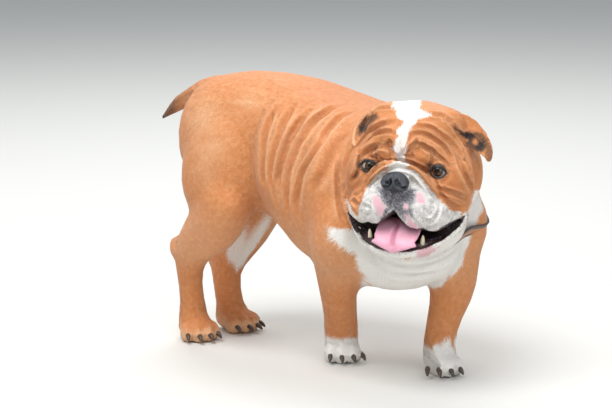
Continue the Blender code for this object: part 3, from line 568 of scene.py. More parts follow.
EAR_CUPS = (
    ((366, 117), (371, 115), (376, 114), (379, 118), (374, 122), (369, 127), (365, 133), (360, 138),
     (357, 136), (359, 127), (362, 121)),
    ((455, 128), (463, 132), (471, 132.5), (478, 137), (483, 143), (485, 150), (482, 153), (476, 150),
     (470, 147), (466, 140), (459, 135)),
)
# Painted shade in each ear's hollow, with its darkest place or its tan tuft: its pixel, its reach, and how
# dark the cup and that place are.
# EAR_CORES = (((364, 130.5), 5.0, 0.66, 0.96), ((474.5, 142.5), 3.6, 0.95, 0.10))
EAR_CORES = (((364, 130.5), 5.0, 0.66, 0.96), ((474.5, 142.5), 3.6, 0.95, 0.10))
EAR_RIM = (
    (474, 131), (482, 134), (489, 142), (494, 152), (491, 165), (486, 160), (483, 150), (478, 142),
    (472, 136),
)
# Lines of painted shade in the creases, under the brows, at the eyes' corners, under the ears and under the
# nose: pixels, half width in mm, and strength.
SHADE_LINES = (
    (TEMPLE_FURROWS[1], 2.6, 0.75),
    (CHEEK_FURROWS[3], 2.0, 0.45),
    (LID_CREASES[0], 2.0, 0.6),
    (LID_CREASES[2][:5], 1.8, 0.6),
    (((427, 163), (429, 166), (430, 170)), 4.0, 0.9),
    (((379, 160), (377, 164), (377, 168)), 3.0, 0.8),
    (((430, 168), (433, 165.5), (438, 164), (443, 165.5), (447, 169)), 2.2, 0.85),
    (((363, 170), (364.5, 166), (368, 162), (373, 160.5), (377, 162)), 2.2, 0.85),
    (((447, 169), (450, 171), (454, 173)), 1.8, 0.5),
    (((452, 126), (457, 130), (463, 133)), 3.0, 0.8),
    (TEMPLE_FURROWS[0][2:], 2.2, 0.55),
    (((470, 148), (475, 157), (478, 165), (479, 170)), 2.6, 0.5),
    (((381, 187), (386, 190), (392, 191), (400, 191), (408, 188)), 3.0, 0.5),
)
# Seen from ahead, in mm across and up: the opening between the lids, and the left half of the mouth.
LIDS = (
    (-12.6, -1.0), (-9.0, 5.0), (-4.0, 7.8), (1.0, 8.4), (6.0, 7.4), (10.0, 4.4),
    (12.4, 0.2), (9.0, -4.2), (4.0, -6.8), (-2.0, -7.2), (-8.0, -5.2),
)
MOUTH = (
    (0, -56), (11, -67), (24, -80), (40, -86), (58, -82), (74, -69), (85, -61),
    (80, -75), (66, -91), (46, -104), (24, -111), (0, -113),
)
PALATE = ((-4, 0, -90), (46, 56, 21))   # the hollow behind it: its middle and half sizes in mm


def outline_depth(outline, places):
    """How far inside a closed outline each place lies, less than nothing outside it."""
    outline = np.asarray(outline, float)
    gaps = np.full(len(places), 1e9)
    inside = np.zeros(len(places), bool)
    for a, b in zip(outline, np.roll(outline, -1, axis=0)):
        run = b - a
        t = np.clip(((places - a) @ run) / (run @ run), 0, 1)
        gaps = np.minimum(gaps, np.linalg.norm(places - a - t[:, None] * run, axis=1))
        crosses = (a[1] > places[:, 1]) != (b[1] > places[:, 1])
        where = a[0] + (places[:, 1] - a[1]) * run[0] / (run[1] if run[1] else 1e-9)
        inside ^= crosses & (places[:, 0] < where)
    return np.where(inside, gaps, -gaps)


def waves(points, size, seed):
    """Smooth ups and downs about a size apart, from -1 to 1, the same for a point each time."""
    rng = np.random.default_rng(seed)
    total = np.zeros(len(points))
    for _ in range(10):
        way = rng.normal(size=3)
        way *= 2 * math.pi * rng.uniform(0.7, 1.6) / (size * np.linalg.norm(way))
        total += np.sin(points @ way + rng.uniform(0, 2 * math.pi))
    return np.clip(total / 3.2, -1, 1)


MM_PER_PIXEL = 1.49
RAGGED_MM = ((2.2, 0.010, 3), (1.4, 0.004, 4))      # how far edges wander, how often, and a seed
RAGGED_SHARE = 0.6
HEAD_BALL = (-15.0, 0.0, -10.0)         # the head's middle in its own frame
HEAD_REACH = (105, 125)
JAW_REACH = (135, 150)
MUZZLE_BALL = ((18, 0, -55), (40, 68, 38))
TAIL_LINE = (
    (-0.232, 0.052, 0.386), (-0.262, 0.052, 0.372), (-0.290, 0.052, 0.352), (-0.312, 0.052, 0.325),
)
TAIL_REACH_MM = (26, 20)
BELLY_LINE = ((-0.205, 0.050), (-0.105, 0.058), (-0.005, 0.046), (0.090, 0.016), (0.163, -0.028))
FORELEG_SOCK = {"left": 0.046, "right": 0.036}
PAW_MARGIN = 0.012
HIND_TOES = 0.016
CHEEKS = ((0, 68, -22), (0, -68, -22))
CHEEK_REACH_MM = 26
DEEP_MM = 3.5               # furrows this deep are marked in full
LID_BAND_MM = (-4.2, -0.8)
LID_DARK = 0.92


def line_mark(points, line, half_width):
    """1 on the line, fading to nothing over its half width in mm."""
    gaps, share = distance_along(points, line)
    return np.exp(-((gaps / half_width) ** 2)), share


def give(thing, values):
    """Stores each named value on the mesh's points."""
    for name, value in values.items():
        layer = thing.data.attributes.new(name, "FLOAT", "POINT")
        layer.data.foreach_set("value", np.clip(value, 0, 1).astype(np.float32))


points, edges = mesh_arrays(skin.data)
normals = normals_of(skin.data, points)
tree = surface_of(skin)
pixels = pixels_of(points)
local = to_head(points)
x, y, z = points.T
seen = np.array(CAMERA_PLACE) - points
shows = smooth_step(0.0, 0.25, (normals * seen).sum(1) / np.linalg.norm(seen, axis=1))
on_head = 1 - smooth_step(*HEAD_REACH, distance(local, HEAD_BALL))
on_jaw = 1 - smooth_step(*JAW_REACH, distance(local, HEAD_BALL))
ragged = sum(reach * waves(points, size, seed) for reach, size, seed in RAGGED_MM)


def within(outline, soft=2.0):
    """1 inside an outline seen in the photograph and 0 outside it, with a ragged edge."""
    depth = outline_depth(outline, pixels) * MM_PER_PIXEL
    return smooth_step(-soft, soft, depth + RAGGED_SHARE * ragged) * shows


# White: blaze, muzzle, chin, breast, belly, hock and forefeet.
gaps, share = distance_along(points, smooth_path(from_head(CROWN_BLAZE)))
half = CROWN_BLAZE_WIDTH[0] + (CROWN_BLAZE_WIDTH[1] - CROWN_BLAZE_WIDTH[0]) * share
crown = smooth_step(-2, 2, half - gaps + ragged) * (local[:, 0] < -18)
pads = 1 - smooth_step(0.92, 1.02, np.linalg.norm((local - MUZZLE_BALL[0]) / MUZZLE_BALL[1], axis=1))
muzzle = np.maximum(within(MUZZLE, 1.6) * on_head, pads * (1 - shows) * on_head)
chin = smooth_step(-92, -100, local[:, 2]) * on_jaw * (local[:, 0] > -40)
under = smooth_step(0.25, 0.7, -normals[:, 2]) * smooth_step(0.09, 0.11, z) * smooth_step(0.26, 0.22, z)
belly = np.abs(y - np.interp(x, *zip(*BELLY_LINE)))
under = under * smooth_step(0.060, 0.035, belly) * smooth_step(-0.16, -0.12, x)
hock = within(HOCK_WHITE, 5.0) * ((y > 0.06) & (x < -0.1))
white = np.maximum.reduce([
    within(BLAZE, 1.6) * on_head, crown, muzzle, chin, within(BREAST, 4.0), within(JAW_WHITE),
    under * 0.85, hock * 0.75,
])
for side, height in FORELEG_SOCK.items():
    low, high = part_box("forepaw_" + side)
    low, high = np.array(low[:2]) - PAW_MARGIN, np.array(high[:2]) + PAW_MARGIN
    here = ((points[:, :2] > low) & (points[:, :2] < high)).all(1)
    top = height + 0.004 * waves(points, 0.016, 9)
    white = np.maximum(white, here * smooth_step(0.004, -0.004, z - top))

# Painted shade and highlight: the furrows are painted redder and darker than the rolls between them, which
# are painted paler.
crest = np.zeros(len(points))
trough = np.zeros(len(points))
for path, width, depth, _ in FURROWS:
    here, beside = furrow_shape(points, path, width * (1.3 if depth > 6 else 1.0))
    trough = np.maximum(trough, here * min(1.0, depth / DEEP_MM))
    crest = np.maximum(crest, beside * min(1.0, depth / DEEP_MM))

# Pale and red tan: rump, hind toes and flank, and the back and cheeks, with painted highlight on the rolls
# and painted shade in the furrows.
# painted highlight on the rolls beside the furrows
pale = 0.45 * crest * (1 - on_head) + 0.35 * crest * on_head
for middle, reach in RUMP_PALE:
    near = np.exp(-((distance(pixels, middle) * MM_PER_PIXEL / reach) ** 2))
    pale = np.maximum(pale, near * (0.50 + 0.12 * waves(points, 0.011, 11)))
toes = smooth_step(HIND_TOES + 0.012, HIND_TOES, z + 0.003 * waves(points, 0.012, 5))
flank = smooth_step(0.27, 0.17, z) * smooth_step(0.10, 0.14, z) * (1 - on_head)
pale = np.maximum.reduce([pale, 0.8 * toes * ((x < -0.14) & (z < 0.05)), 0.35 * flank])
red = smooth_step(0.30, 0.39, z) * (1 - on_head) * smooth_step(-0.16, 0.02, x) * 0.3
# painted shade in the furrows, laid on as red tan
red = np.maximum(red, 0.85 * trough)
for middle in CHEEKS:
    red = np.maximum(red, 0.7 * np.exp(-((distance(local, middle) / CHEEK_REACH_MM) ** 2)))

# Dark: painted shade in the furrows, along the shade lines and in the ear cups; dark ear rims, tail and
# lids.
dark = 0.36 * trough**2 * on_head + 0.62 * trough**2 * (1 - on_head)
for line, half_width, strength in SHADE_LINES:
    mark, share = line_mark(points, traced(line, tree), half_width)
    fade = smooth_step(0, 0.2, share) * smooth_step(0, 0.2, 1 - share) * 0.6 + 0.4
    dark = np.maximum(dark, strength * fade * mark)
# painted shade inside each ear cup, darkest at its core, with the second cup's tan tuft left light
for outline, (middle, reach, depth, core) in zip(EAR_CUPS, EAR_CORES):
    near = np.exp(-((distance(pixels, middle) / reach) ** 2))
    dark = np.maximum(dark, (depth + (core - depth) * near) * within(outline, 3.0))
pale = np.maximum(pale, 0.9 * line_mark(points, traced(EAR_EDGES[0], tree), 2.2)[0])
dark = np.maximum(dark, 0.7 * line_mark(points, traced(EAR_EDGES[1], tree), 2.6)[0])
dark = np.maximum(dark, 0.6 * within(EAR_RIM))
tail_dark = smooth_step(-0.215, -0.245, x) * 0.28 + smooth_step(-0.268, -0.292, x) * 0.35
gaps, _ = distance_along(points, smooth_path(TAIL_LINE, 0.004))
tail_dark = tail_dark * smooth_step(*TAIL_REACH_MM, gaps) * (1 + 0.3 * waves(points, 0.007, 6))
dark = np.maximum(dark, tail_dark)
for side, place in zip((1, -1), EYES.values()):
    rim = outline_depth(LIDS, (local - place)[:, 1:] * (side, 1))
    near = (np.abs(local[:, 0] - place[0] - 9) < 14) & (rim > -12)
    dark = np.maximum(dark, near * smooth_step(*LID_BAND_MM, rim) * LID_DARK)

# The mouth's inside, dark gum with painted shade in its hollow, and the muzzle's pink patches, grey tint
# and black speckles.
lips = outline_depth([*MOUTH, *((-y, z) for y, z in reversed(MOUTH[1:-1]))], local[:, 1:])
in_mouth = smooth_step(-2.6, -1.0, lips + 0.6 * waves(points, 0.004, 8)) * (local[:, 0] > -60) * on_head
# painted shade in the hollow behind the lips
hollow = np.linalg.norm((local - PALATE[0]) / (np.array(PALATE[1]) + 3.0), axis=1)
in_mouth = np.maximum(in_mouth, (hollow < 1) & (local[:, 2] > -112))
pink = np.maximum.reduce([within(outline, 2.6) * 0.85 for outline in PINK])
pink = np.maximum(pink * muzzle, within(LIP_PINK, 2.6) * 0.7)
speckled = within(SPECKLED, 6.0)
grey = np.clip(0.26 + 0.62 * speckled + 0.14 * waves(points, 0.012, 14), 0, 1)
lip_edge = smooth_step(-9, -3, lips) * (local[:, 2] < -100) * (np.abs(local[:, 1]) < 42) * on_head
speckle = np.maximum(0.26 * muzzle + 0.42 * speckled * muzzle, 0.7 * lip_edge)
marks = {
    "white": white, "pale": pale, "red": red, "dark": dark, "mouth": in_mouth, "pink": pink,
    "grey": muzzle * (1 - 0.7 * pink) * grey, "speckle": speckle * (1 - pink),
}
give(skin, marks)

# Hide
# What shows between the hairs: the skin under a coat a centimetre long that lies flat, dulled by dust.
# It is soft and hardly shines. Fine strands lift the surface and the tan breaks into paler flecks.

# Red tan also paints shade in the furrows, pale tan highlight on the rolls, and black the shade in creases
# and ear hollows.
TAN = "#c97f48"
RED_TAN_AND_SHADE = "#b0642f"
PALE_TAN_AND_HIGHLIGHT = "#e4b389"
WHITE_HAIR = "#e9e5df"
BLACK_HAIR_AND_SHADE = "#2b221d"
PINK_SKIN = "#e0b2ba"
GREY_HAIR = "#85838c"
# the mouth's dark skin, also painted as shade in its hollow
MOUTH_SKIN_AND_SHADE = "#3a2324"
STRAND_MM = 1.1             # hairs that lie together in a lock, wider than one real hair so that they show
FLECK_MM = 7.0
SPECK_MM = 1.7


def linear(colour):
    """An sRGB hex colour as linear red, green, blue and alpha."""
    shares = [int(colour[i:i + 2], 16) / 255 for i in (1, 3, 5)]
    return (*(c / 12.92 if c <= 0.04045 else ((c + 0.055) / 1.055) ** 2.4 for c in shares), 1.0)


def add_node(tree, kind, settings=None, inputs=None):
    """Adds a node with its settings, each input given a value or another node's output."""
    made = tree.nodes.new(kind)
    for name, value in (settings or {}).items():
        setattr(made, name, value)
    for name, value in (inputs or {}).items():
        if isinstance(value, bpy.types.NodeSocket):
            tree.links.new(value, made.inputs[name])
        else:
            made.inputs[name].default_value = value
    return made


def new_material(name, settings):
    """A material with its shader's own sockets set, and the node tree to build it in."""
    made = bpy.data.materials.new(name)
    made.use_nodes = True
    shader = made.node_tree.nodes["Principled BSDF"]
    for socket, value in settings.items():
        shader.inputs[socket].default_value = value
    return made, made.node_tree, shader


def painted(tree, colour, *layers):
    """A colour with others laid over it, each by its share."""
    for share, over in layers:
        mix = add_node(tree, "ShaderNodeMix", {"data_type": "RGBA"}, {0: share, 6: colour, 7: over})
        colour = mix.outputs[2]
    return colour


def surfaced(tree, shader, colour, height, strength, relief):
    """Gives the shader its colour, where that varies, and bumps of this relief in metres."""
    if colour is not None:
        tree.links.new(colour, shader.inputs["Base Color"])
    bump = add_node(tree, "ShaderNodeBump", inputs={
        "Height": height, "Strength": strength, "Distance": relief})
    tree.links.new(bump.outputs["Normal"], shader.inputs["Normal"])


def hair_colour(tree):
    """The markings' colours with the folds' painted shade and highlight, their edges broken by fine noise,
    and the strands' light and dark.
    """
    place = add_node(tree, "ShaderNodeTexCoord").outputs["Object"]
    strand, fleck, speck = (
        add_node(tree, "ShaderNodeTexNoise", inputs={
            "Vector": place, "Scale": 1000 / size, "Detail": detail}).outputs["Fac"]
        for size, detail in ((STRAND_MM, 2.0), (FLECK_MM, 3.0), (SPECK_MM, 1.0))
    )

    def mask(name, rough=0.0, low=0.25, high=0.75):
        value = add_node(tree, "ShaderNodeAttribute", {"attribute_name": name}).outputs["Fac"]
        if rough:
            shift = add_node(tree, "ShaderNodeMath", {"operation": "MULTIPLY_ADD"}, {
                0: strand, 1: rough, 2: -0.5 * rough}).outputs[0]
            value = add_node(tree, "ShaderNodeMath", {"operation": "ADD"}, {0: value, 1: shift}).outputs[0]
        return add_node(tree, "ShaderNodeMapRange", {"interpolation_type": "SMOOTHSTEP"}, {
            "Value": value, "From Min": low, "From Max": high}).outputs["Result"]

    flecks = add_node(tree, "ShaderNodeMapRange", inputs={
        "Value": fleck, "From Min": 0.42, "From Max": 0.72, "To Max": 0.25}).outputs["Result"]
    density = add_node(tree, "ShaderNodeAttribute", {"attribute_name": "speckle"}).outputs["Fac"]
    over = add_node(tree, "ShaderNodeMath", {"operation": "MULTIPLY_ADD"}, {
        0: density, 1: 0.42, 2: 0.20}).outputs[0]
    spots = add_node(tree, "ShaderNodeMath", {"operation": "SUBTRACT"}, {0: over, 1: speck}).outputs[0]
    spots = add_node(tree, "ShaderNodeMapRange", inputs={
        "Value": spots, "From Min": -0.12, "From Max": 0.10, "To Max": 0.85}).outputs["Result"]
    # the red, pale and dark layers also lay painted shade in the furrows, creases and ear hollows, and
    # painted highlight on the rolls
    colour = painted(
        tree, linear(TAN),
        (flecks, linear(PALE_TAN_AND_HIGHLIGHT)),
        (mask("red", 0.3, 0.0, 1.0), linear(RED_TAN_AND_SHADE)),
        (mask("pale", 0.5, 0.0, 1.0), linear(PALE_TAN_AND_HIGHLIGHT)),
        (mask("white", 0.7), linear(WHITE_HAIR)),
        (mask("grey", 0.3, 0.0, 1.0), linear(GREY_HAIR)),
        (spots, linear(BLACK_HAIR_AND_SHADE)),
        (mask("pink", 0.3), linear(PINK_SKIN)),
        (mask("dark", 0.25, 0.05, 0.95), linear(BLACK_HAIR_AND_SHADE)),
        (mask("mouth"), linear(MOUTH_SKIN_AND_SHADE)),
    )
    shade = add_node(tree, "ShaderNodeMapRange", inputs={
        "Value": strand, "From Min": 0.25, "From Max": 0.75, "To Min": 0.92, "To Max": 1.07})
    shaded = add_node(tree, "ShaderNodeVectorMath", {"operation": "SCALE"}, {
        0: colour, "Scale": shade.outputs["Result"]})
    return shaded.outputs[0], strand


hide, hide_tree, hide_shader = new_material("dog hide under short coat", {
    "Sheen Weight": 0.12, "Sheen Roughness": 0.5})
colour, strand = hair_colour(hide_tree)
surfaced(hide_tree, hide_shader, colour, strand, 0.35, 0.0006)
wet = add_node(hide_tree, "ShaderNodeAttribute", {"attribute_name": "mouth"}).outputs["Fac"]
roughness = add_node(hide_tree, "ShaderNodeMapRange", inputs={"Value": wet, "To Min": 0.74, "To Max": 0.25})
hide_tree.links.new(roughness.outputs["Result"], hide_shader.inputs["Roughness"])
skin.data.materials.clear()
skin.data.materials.append(hide)
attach(skin, "root")
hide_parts(*FLESH)

# Coat
# Short flat hair in small locks, each a closed sliver rooted in the skin with its tip laid over the next.
# They run back from the nose, along the trunk and down the legs, shortest on the face and feet.

LOCKS = 195000
LOCKS_A_PIECE = 32500
LENGTH_MM = (7.8, 4.4, 5.0)             # on the body, face and feet
HALF_WIDTH_MM = (0.50, 0.28, 0.42)
LIFT_MM = (0.26, 0.18, 0.30)
FACE_DENSITY = 4.6          # how many times closer the locks stand on the face than on the trunk
FEET_DENSITY = 2.6
PATCH = 0.003               # each lock's width on the unwrap
SEED = 41
COAT_FACE = ((-8, 0, -20), 85, 125)     # the face's middle in the head's frame, and where its locks end
FEET_HEIGHT = (0.075, 0.045)
BARE_NOSE = ((46, 1.5, -15), (14, 23, 15), 0.95, 1.15)      # its middle, half sizes and soft edge
BARE_LIDS = (8, 12.0, 15.0)             # mm ahead of the eyeball's middle, and where the hair starts
LENGTH_SPREAD = (0.7, 1.25)
WIDTH_SPREAD = (0.75, 1.25)
LIFT_SPREAD = (0.35, 1.2)
ROOT_SINK = 0.0004          # the root goes this deep, and this share of the length back
ROOT_BACK = 0.05
MIDDLE_SHARE = 0.42         # where a lock is broadest along its length, and how much of its lift it has
MIDDLE_LIFT = 0.30
RIDGE_SHARE = 0.45          # the ridge's height in half widths
FLOOR_GAP = 0.0002
LIE_START = (69.0, 0.0, -14.0)          # mm ahead of the nose, where the head's hair fans from
NECK_REACH = (100, 190)
LEG_HEIGHT = (0.20, 0.13)
TRUNK_LIE = (-0.94, 0.0, -0.34)
LEG_LIE = (-0.10, 0.0, -1.0)
WAVE = 0.35                 # how far the lie turns aside in broad waves, and from lock to lock
SCATTER = 0.16
UNWRAP_SHARE = 0.09
SIDE_SHADE = 0.22           # how far the locks' normals lean to the sides and to the tip
TIP_SHADE = 0.15

skin.data.calc_loop_triangles()
corners = np.empty(len(skin.data.loop_triangles) * 3, np.int64)
skin.data.loop_triangles.foreach_get("vertices", corners)
corners = corners.reshape(-1, 3)
local = to_head(points)
face = 1 - smooth_step(*COAT_FACE[1:], distance(local, COAT_FACE[0]))
feet = smooth_step(*FEET_HEIGHT, points[:, 2])
nose_gap = np.linalg.norm((local - BARE_NOSE[0]) / BARE_NOSE[1], axis=1)
lid_gap = np.min([distance(local - place, (BARE_LIDS[0], 0, 0)) for place in EYES.values()], axis=0)
bare = np.maximum.reduce([
    marks["mouth"], 1 - smooth_step(*BARE_NOSE[2:], nose_gap), 1 - smooth_step(*BARE_LIDS[1:], lid_gap),
    smooth_step(0.55, 0.95, marks["pink"]) * 0.6, (points[:, 2] < 0.002) * 1.0,
])
density = (1 + (FACE_DENSITY - 1) * face + (FEET_DENSITY - 1) * feet) * (1 - bare)
a, b, c = points[corners[:, 0]], points[corners[:, 1]], points[corners[:, 2]]
area = np.linalg.norm(np.cross(b - a, c - a), axis=1) * density[corners].mean(1)
rng = np.random.default_rng(SEED)
reach = np.cumsum(area)
steps = (np.arange(LOCKS) + rng.uniform(size=LOCKS)) / LOCKS * reach[-1]
found = np.minimum(np.searchsorted(reach, steps), len(corners) - 1)
u, v = rng.uniform(size=(2, LOCKS))
flip = u + v > 1
u[flip], v[flip] = 1 - u[flip], 1 - v[flip]
shares = np.stack([1 - u - v, u, v], axis=1)


def on_skin(values):
    """Values of the skin's points, at the locks' roots."""
    return (values[corners[found]] * (shares[:, :, None] if values.ndim > 1 else shares)).sum(1)


# The lie of the hair: from the nose back over the head, then along the trunk and down the legs.
root = on_skin(points)
up = unit(on_skin(normals))
at_face, at_feet, root_head = on_skin(face), on_skin(feet), to_head(root)
head_lie = unit(root_head - LIE_START) @ HEAD_AXES.T
leg_share = smooth_step(*LEG_HEIGHT, root[:, 2])[:, None]
neck_share = (1 - smooth_step(*NECK_REACH, np.linalg.norm(root_head, axis=1)))[:, None]
lie = np.array(TRUNK_LIE) * (1 - leg_share) + np.array(LEG_LIE) * leg_share
lie = lie * (1 - neck_share) + head_lie * neck_share
turn = waves(root, 0.045, 21)[:, None] * WAVE + rng.normal(0, SCATTER, (LOCKS, 1))
side = np.cross(up, lie)
lie = lie + side * turn
lie = unit(lie - up * (lie * up).sum(1)[:, None])
side = np.cross(up, lie)


def by_region(sizes):
    """Each lock's size in metres, from those on the body, face and feet in mm."""
    body, head, low = sizes
    return (body + (head - body) * at_face + (low - body) * at_feet * (1 - at_face)) * 0.001


length = by_region(LENGTH_MM) * rng.uniform(*LENGTH_SPREAD, LOCKS)
half = by_region(HALF_WIDTH_MM) * rng.uniform(*WIDTH_SPREAD, LOCKS)
lift = by_region(LIFT_MM) * rng.uniform(*LIFT_SPREAD, LOCKS)
tree = surface_of(skin)


def laid_on(places, out):
    """The places brought to the skin, and raised from it by out."""
    hits = [tree.find_nearest(Vector(place), 0.02) for place in places]
    near = np.array([hit[0] if hit[0] else place for hit, place in zip(hits, places)])
    way = np.array([hit[1] if hit[1] else (0, 0, 1) for hit in hits])
    return near + way * out[:, None], way


middle, middle_up = laid_on(root + lie * (MIDDLE_SHARE * length)[:, None], MIDDLE_LIFT * lift)
tip, _ = laid_on(root + lie * length[:, None], lift)
base = root - up * ROOT_SINK - lie * (ROOT_BACK * length)[:, None]
tip[:, 2] = np.maximum(tip[:, 2], FLOOR_GAP)
base[:, 2] = np.maximum(base[:, 2], FLOOR_GAP)
ridge = middle + middle_up * (RIDGE_SHARE * half)[:, None]
# root, left, ridge, right and tip of each closed lock
places = np.stack([base, middle + side * half[:, None], ridge, middle - side * half[:, None], tip], axis=1)
places[:, :, 2] = np.maximum(places[:, :, 2], 0.0)
LOCK_FACES = np.array(((0, 2, 1), (0, 3, 2), (0, 1, 3), (4, 1, 2), (4, 2, 3), (4, 3, 1)))
LOCK_PATCH = np.array(((0.0, -0.5), (-0.5, 0.0), (0.0, 0.1), (0.5, 0.0), (0.0, 0.5))) * PATCH

# The unwrap comes from a coarse copy of the skin, and each lock takes its root's place on it.
unwrap = bpy.data.objects.new("unwrap", skin.data.copy())
bpy.context.scene.collection.objects.link(unwrap)
finish_with(unwrap, "DECIMATE", ratio=UNWRAP_SHARE, use_collapse_triangulate=True)
choose(unwrap)
bpy.ops.object.mode_set(mode="EDIT")
bpy.ops.mesh.select_all(action="SELECT")
bpy.ops.uv.smart_project(angle_limit=math.radians(66), island_margin=0.004)
bpy.ops.object.mode_set(mode="OBJECT")
flat = np.empty(len(unwrap.data.loops) * 2)
unwrap.data.uv_layers.active.data.foreach_get("uv", flat)
flat = flat.reshape(-1, 3, 2)
unwrap_points, _ = mesh_arrays(unwrap.data)
unwrap_corners = np.empty(len(unwrap.data.loops), np.int64)
unwrap.data.loops.foreach_get("vertex_index", unwrap_corners)
unwrap_corners = unwrap_corners.reshape(-1, 3)
unwrap_tree = surface_of(unwrap)
bpy.data.objects.remove(unwrap)
nearest = [unwrap_tree.find_nearest(Vector(place)) for place in root]
near_face = np.array([hit[2] for hit in nearest])
near_place = np.array([hit[0] for hit in nearest])
triangle = unwrap_points[unwrap_corners[near_face]]


def corner_shares(places, triangles):
    """Each place as shares of its triangle's three corners."""
    first = triangles[:, 0]
    ab, ac, ap = triangles[:, 1] - first, triangles[:, 2] - first, places - first
    d00, d01, d11 = (ab * ab).sum(1), (ab * ac).sum(1), (ac * ac).sum(1)
    d20, d21 = (ap * ab).sum(1), (ap * ac).sum(1)
    scale = np.maximum(d00 * d11 - d01 * d01, 1e-18)
    v = np.clip((d11 * d20 - d01 * d21) / scale, 0, 1)
    w = np.clip((d00 * d21 - d01 * d20) / scale, 0, 1)
    return np.stack([1 - v - w, v, w], axis=1)


root_flat = (flat[near_face] * corner_shares(near_place, triangle)[:, :, None]).sum(1)
root_flat = np.clip(root_flat, PATCH, 1 - PATCH)

coat, coat_tree, coat_shader = new_material("short flat dog hair", {
    "Roughness": 0.62, "Specular IOR Level": 0.35, "Sheen Weight": 0.15, "Sheen Roughness": 0.45})
colour, _ = hair_colour(coat_tree)
tone = add_node(coat_tree, "ShaderNodeAttribute", {"attribute_name": "tone"}).outputs["Fac"]
tone = add_node(coat_tree, "ShaderNodeMapRange", inputs={"Value": tone, "To Min": 0.96, "To Max": 1.05})
colour = add_node(coat_tree, "ShaderNodeVectorMath", {"operation": "SCALE"}, {
    0: colour, "Scale": tone.outputs["Result"]}).outputs[0]
coat_tree.links.new(colour, coat_shader.inputs["Base Color"])


def lock_mesh(name, places, faces, flat):
    """A mesh of triangles from arrays, with its flat places as the map OFBake."""
    mesh = bpy.data.meshes.new(name)
    mesh.vertices.add(len(places))
    mesh.vertices.foreach_set("co", places.astype(np.float32).ravel())
    mesh.loops.add(faces.size)
    mesh.loops.foreach_set("vertex_index", faces.astype(np.int32).ravel())
    mesh.polygons.add(len(faces))
    mesh.polygons.foreach_set("loop_start", np.arange(0, faces.size, 3, dtype=np.int32))
    mesh.update(calc_edges=True)
    layer = mesh.uv_layers.new(name="OFBake")
    layer.data.foreach_set("uv", flat[faces.ravel()].astype(np.float32).ravel())
    return mesh


# The locks lie so close that they shade almost as the skin under them does.
lock_normals = np.stack([
    up, middle_up + SIDE_SHADE * side, middle_up, middle_up - SIDE_SHADE * side,
    middle_up + TIP_SHADE * lie,
], axis=1)
lock_normals /= np.linalg.norm(lock_normals, axis=2)[:, :, None]
# Pieces run from the tail end to the face, each small enough to keep whole.
order = np.argsort(at_face * 4 + root[:, 0], kind="stable")
root_marks = {name: on_skin(value) for name, value in marks.items()}
root_marks["tone"] = rng.uniform(size=LOCKS)
for number, start in enumerate(range(0, LOCKS, LOCKS_A_PIECE)):
    part = order[start:start + LOCKS_A_PIECE]
    faces = (LOCK_FACES[None] + 5 * np.arange(len(part))[:, None, None]).reshape(-1, 3)
    spread = (root_flat[part, None] + LOCK_PATCH[None]).reshape(-1, 2)
    mesh = lock_mesh(f"coat_{number + 1}", places[part].reshape(-1, 3), faces, spread)
    piece = bpy.data.objects.new(f"coat_{number + 1}", mesh)
    bpy.context.scene.collection.objects.link(piece)
    give(piece, {name: np.repeat(value[part], 5) for name, value in root_marks.items()})
    mesh.polygons.foreach_set("use_smooth", np.ones(len(mesh.polygons), bool))
    mesh.normals_split_custom_set_from_vertices(lock_normals[part].reshape(-1, 3).tolist())
    mesh.materials.append(coat)
    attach(piece, "root")

# Eyes
# Two wet balls under the brows, brown round a dark pupil, with the white showing only at the corners.
# Each is turned round its gaze and swells over the iris, where the clear cornea stands out.

GAZE_PIXELS = {"left": (437.0, 170.5), "right": (370.6, 166.3)}
CORNEA_MM = 0.9
CORNEA_DEGREES = (43.0, 8.0)    # the swelling starts just outside the iris, and is full this near the gaze
EYE_SEGMENTS = 72
EYE_RINGS = 60
# Colours by degrees from the gaze.
EYE_BANDS = (
    (0.0, "#040302"), (14.0, "#060403"), (17.5, "#22150a"), (26.0, "#553a18"), (32.5, "#38240f"),
    (37.0, "#0d0805"), (40.5, "#4f423b"), (47.0, "#b9a89f"), (90.0, "#b08e86"),
)

eye_glass, eye_tree, eye_shader = new_material("wet eye", {
    "Roughness": 0.10, "Specular IOR Level": 0.2, "Coat Weight": 0.7, "Coat Roughness": 0.03,
    "Coat IOR": 1.38,
})
ring = add_node(eye_tree, "ShaderNodeAttribute", {"attribute_name": "ring"}).outputs["Fac"]
fibre = add_node(eye_tree, "ShaderNodeAttribute", {"attribute_name": "fibre"}).outputs["Vector"]
streaks = add_node(eye_tree, "ShaderNodeTexNoise", inputs={"Vector": fibre, "Scale": 9.0, "Detail": 3.0})
bands = add_node(eye_tree, "ShaderNodeValToRGB", inputs={"Fac": ring})
while len(bands.color_ramp.elements) < len(EYE_BANDS):
    bands.color_ramp.elements.new(0.5)
for element, (degrees, colour) in zip(bands.color_ramp.elements, EYE_BANDS):
    element.position = degrees / 90
    element.color = linear(colour)
streak_shade = add_node(eye_tree, "ShaderNodeMapRange", inputs={
    "Value": streaks.outputs["Fac"], "From Min": 0.3, "From Max": 0.7, "To Min": 0.65, "To Max": 1.35})
eye_colour = add_node(eye_tree, "ShaderNodeVectorMath", {"operation": "SCALE"}, {
    0: bands.outputs["Color"], "Scale": streak_shade.outputs["Result"]})
eye_tree.links.new(eye_colour.outputs[0], eye_shader.inputs["Base Color"])

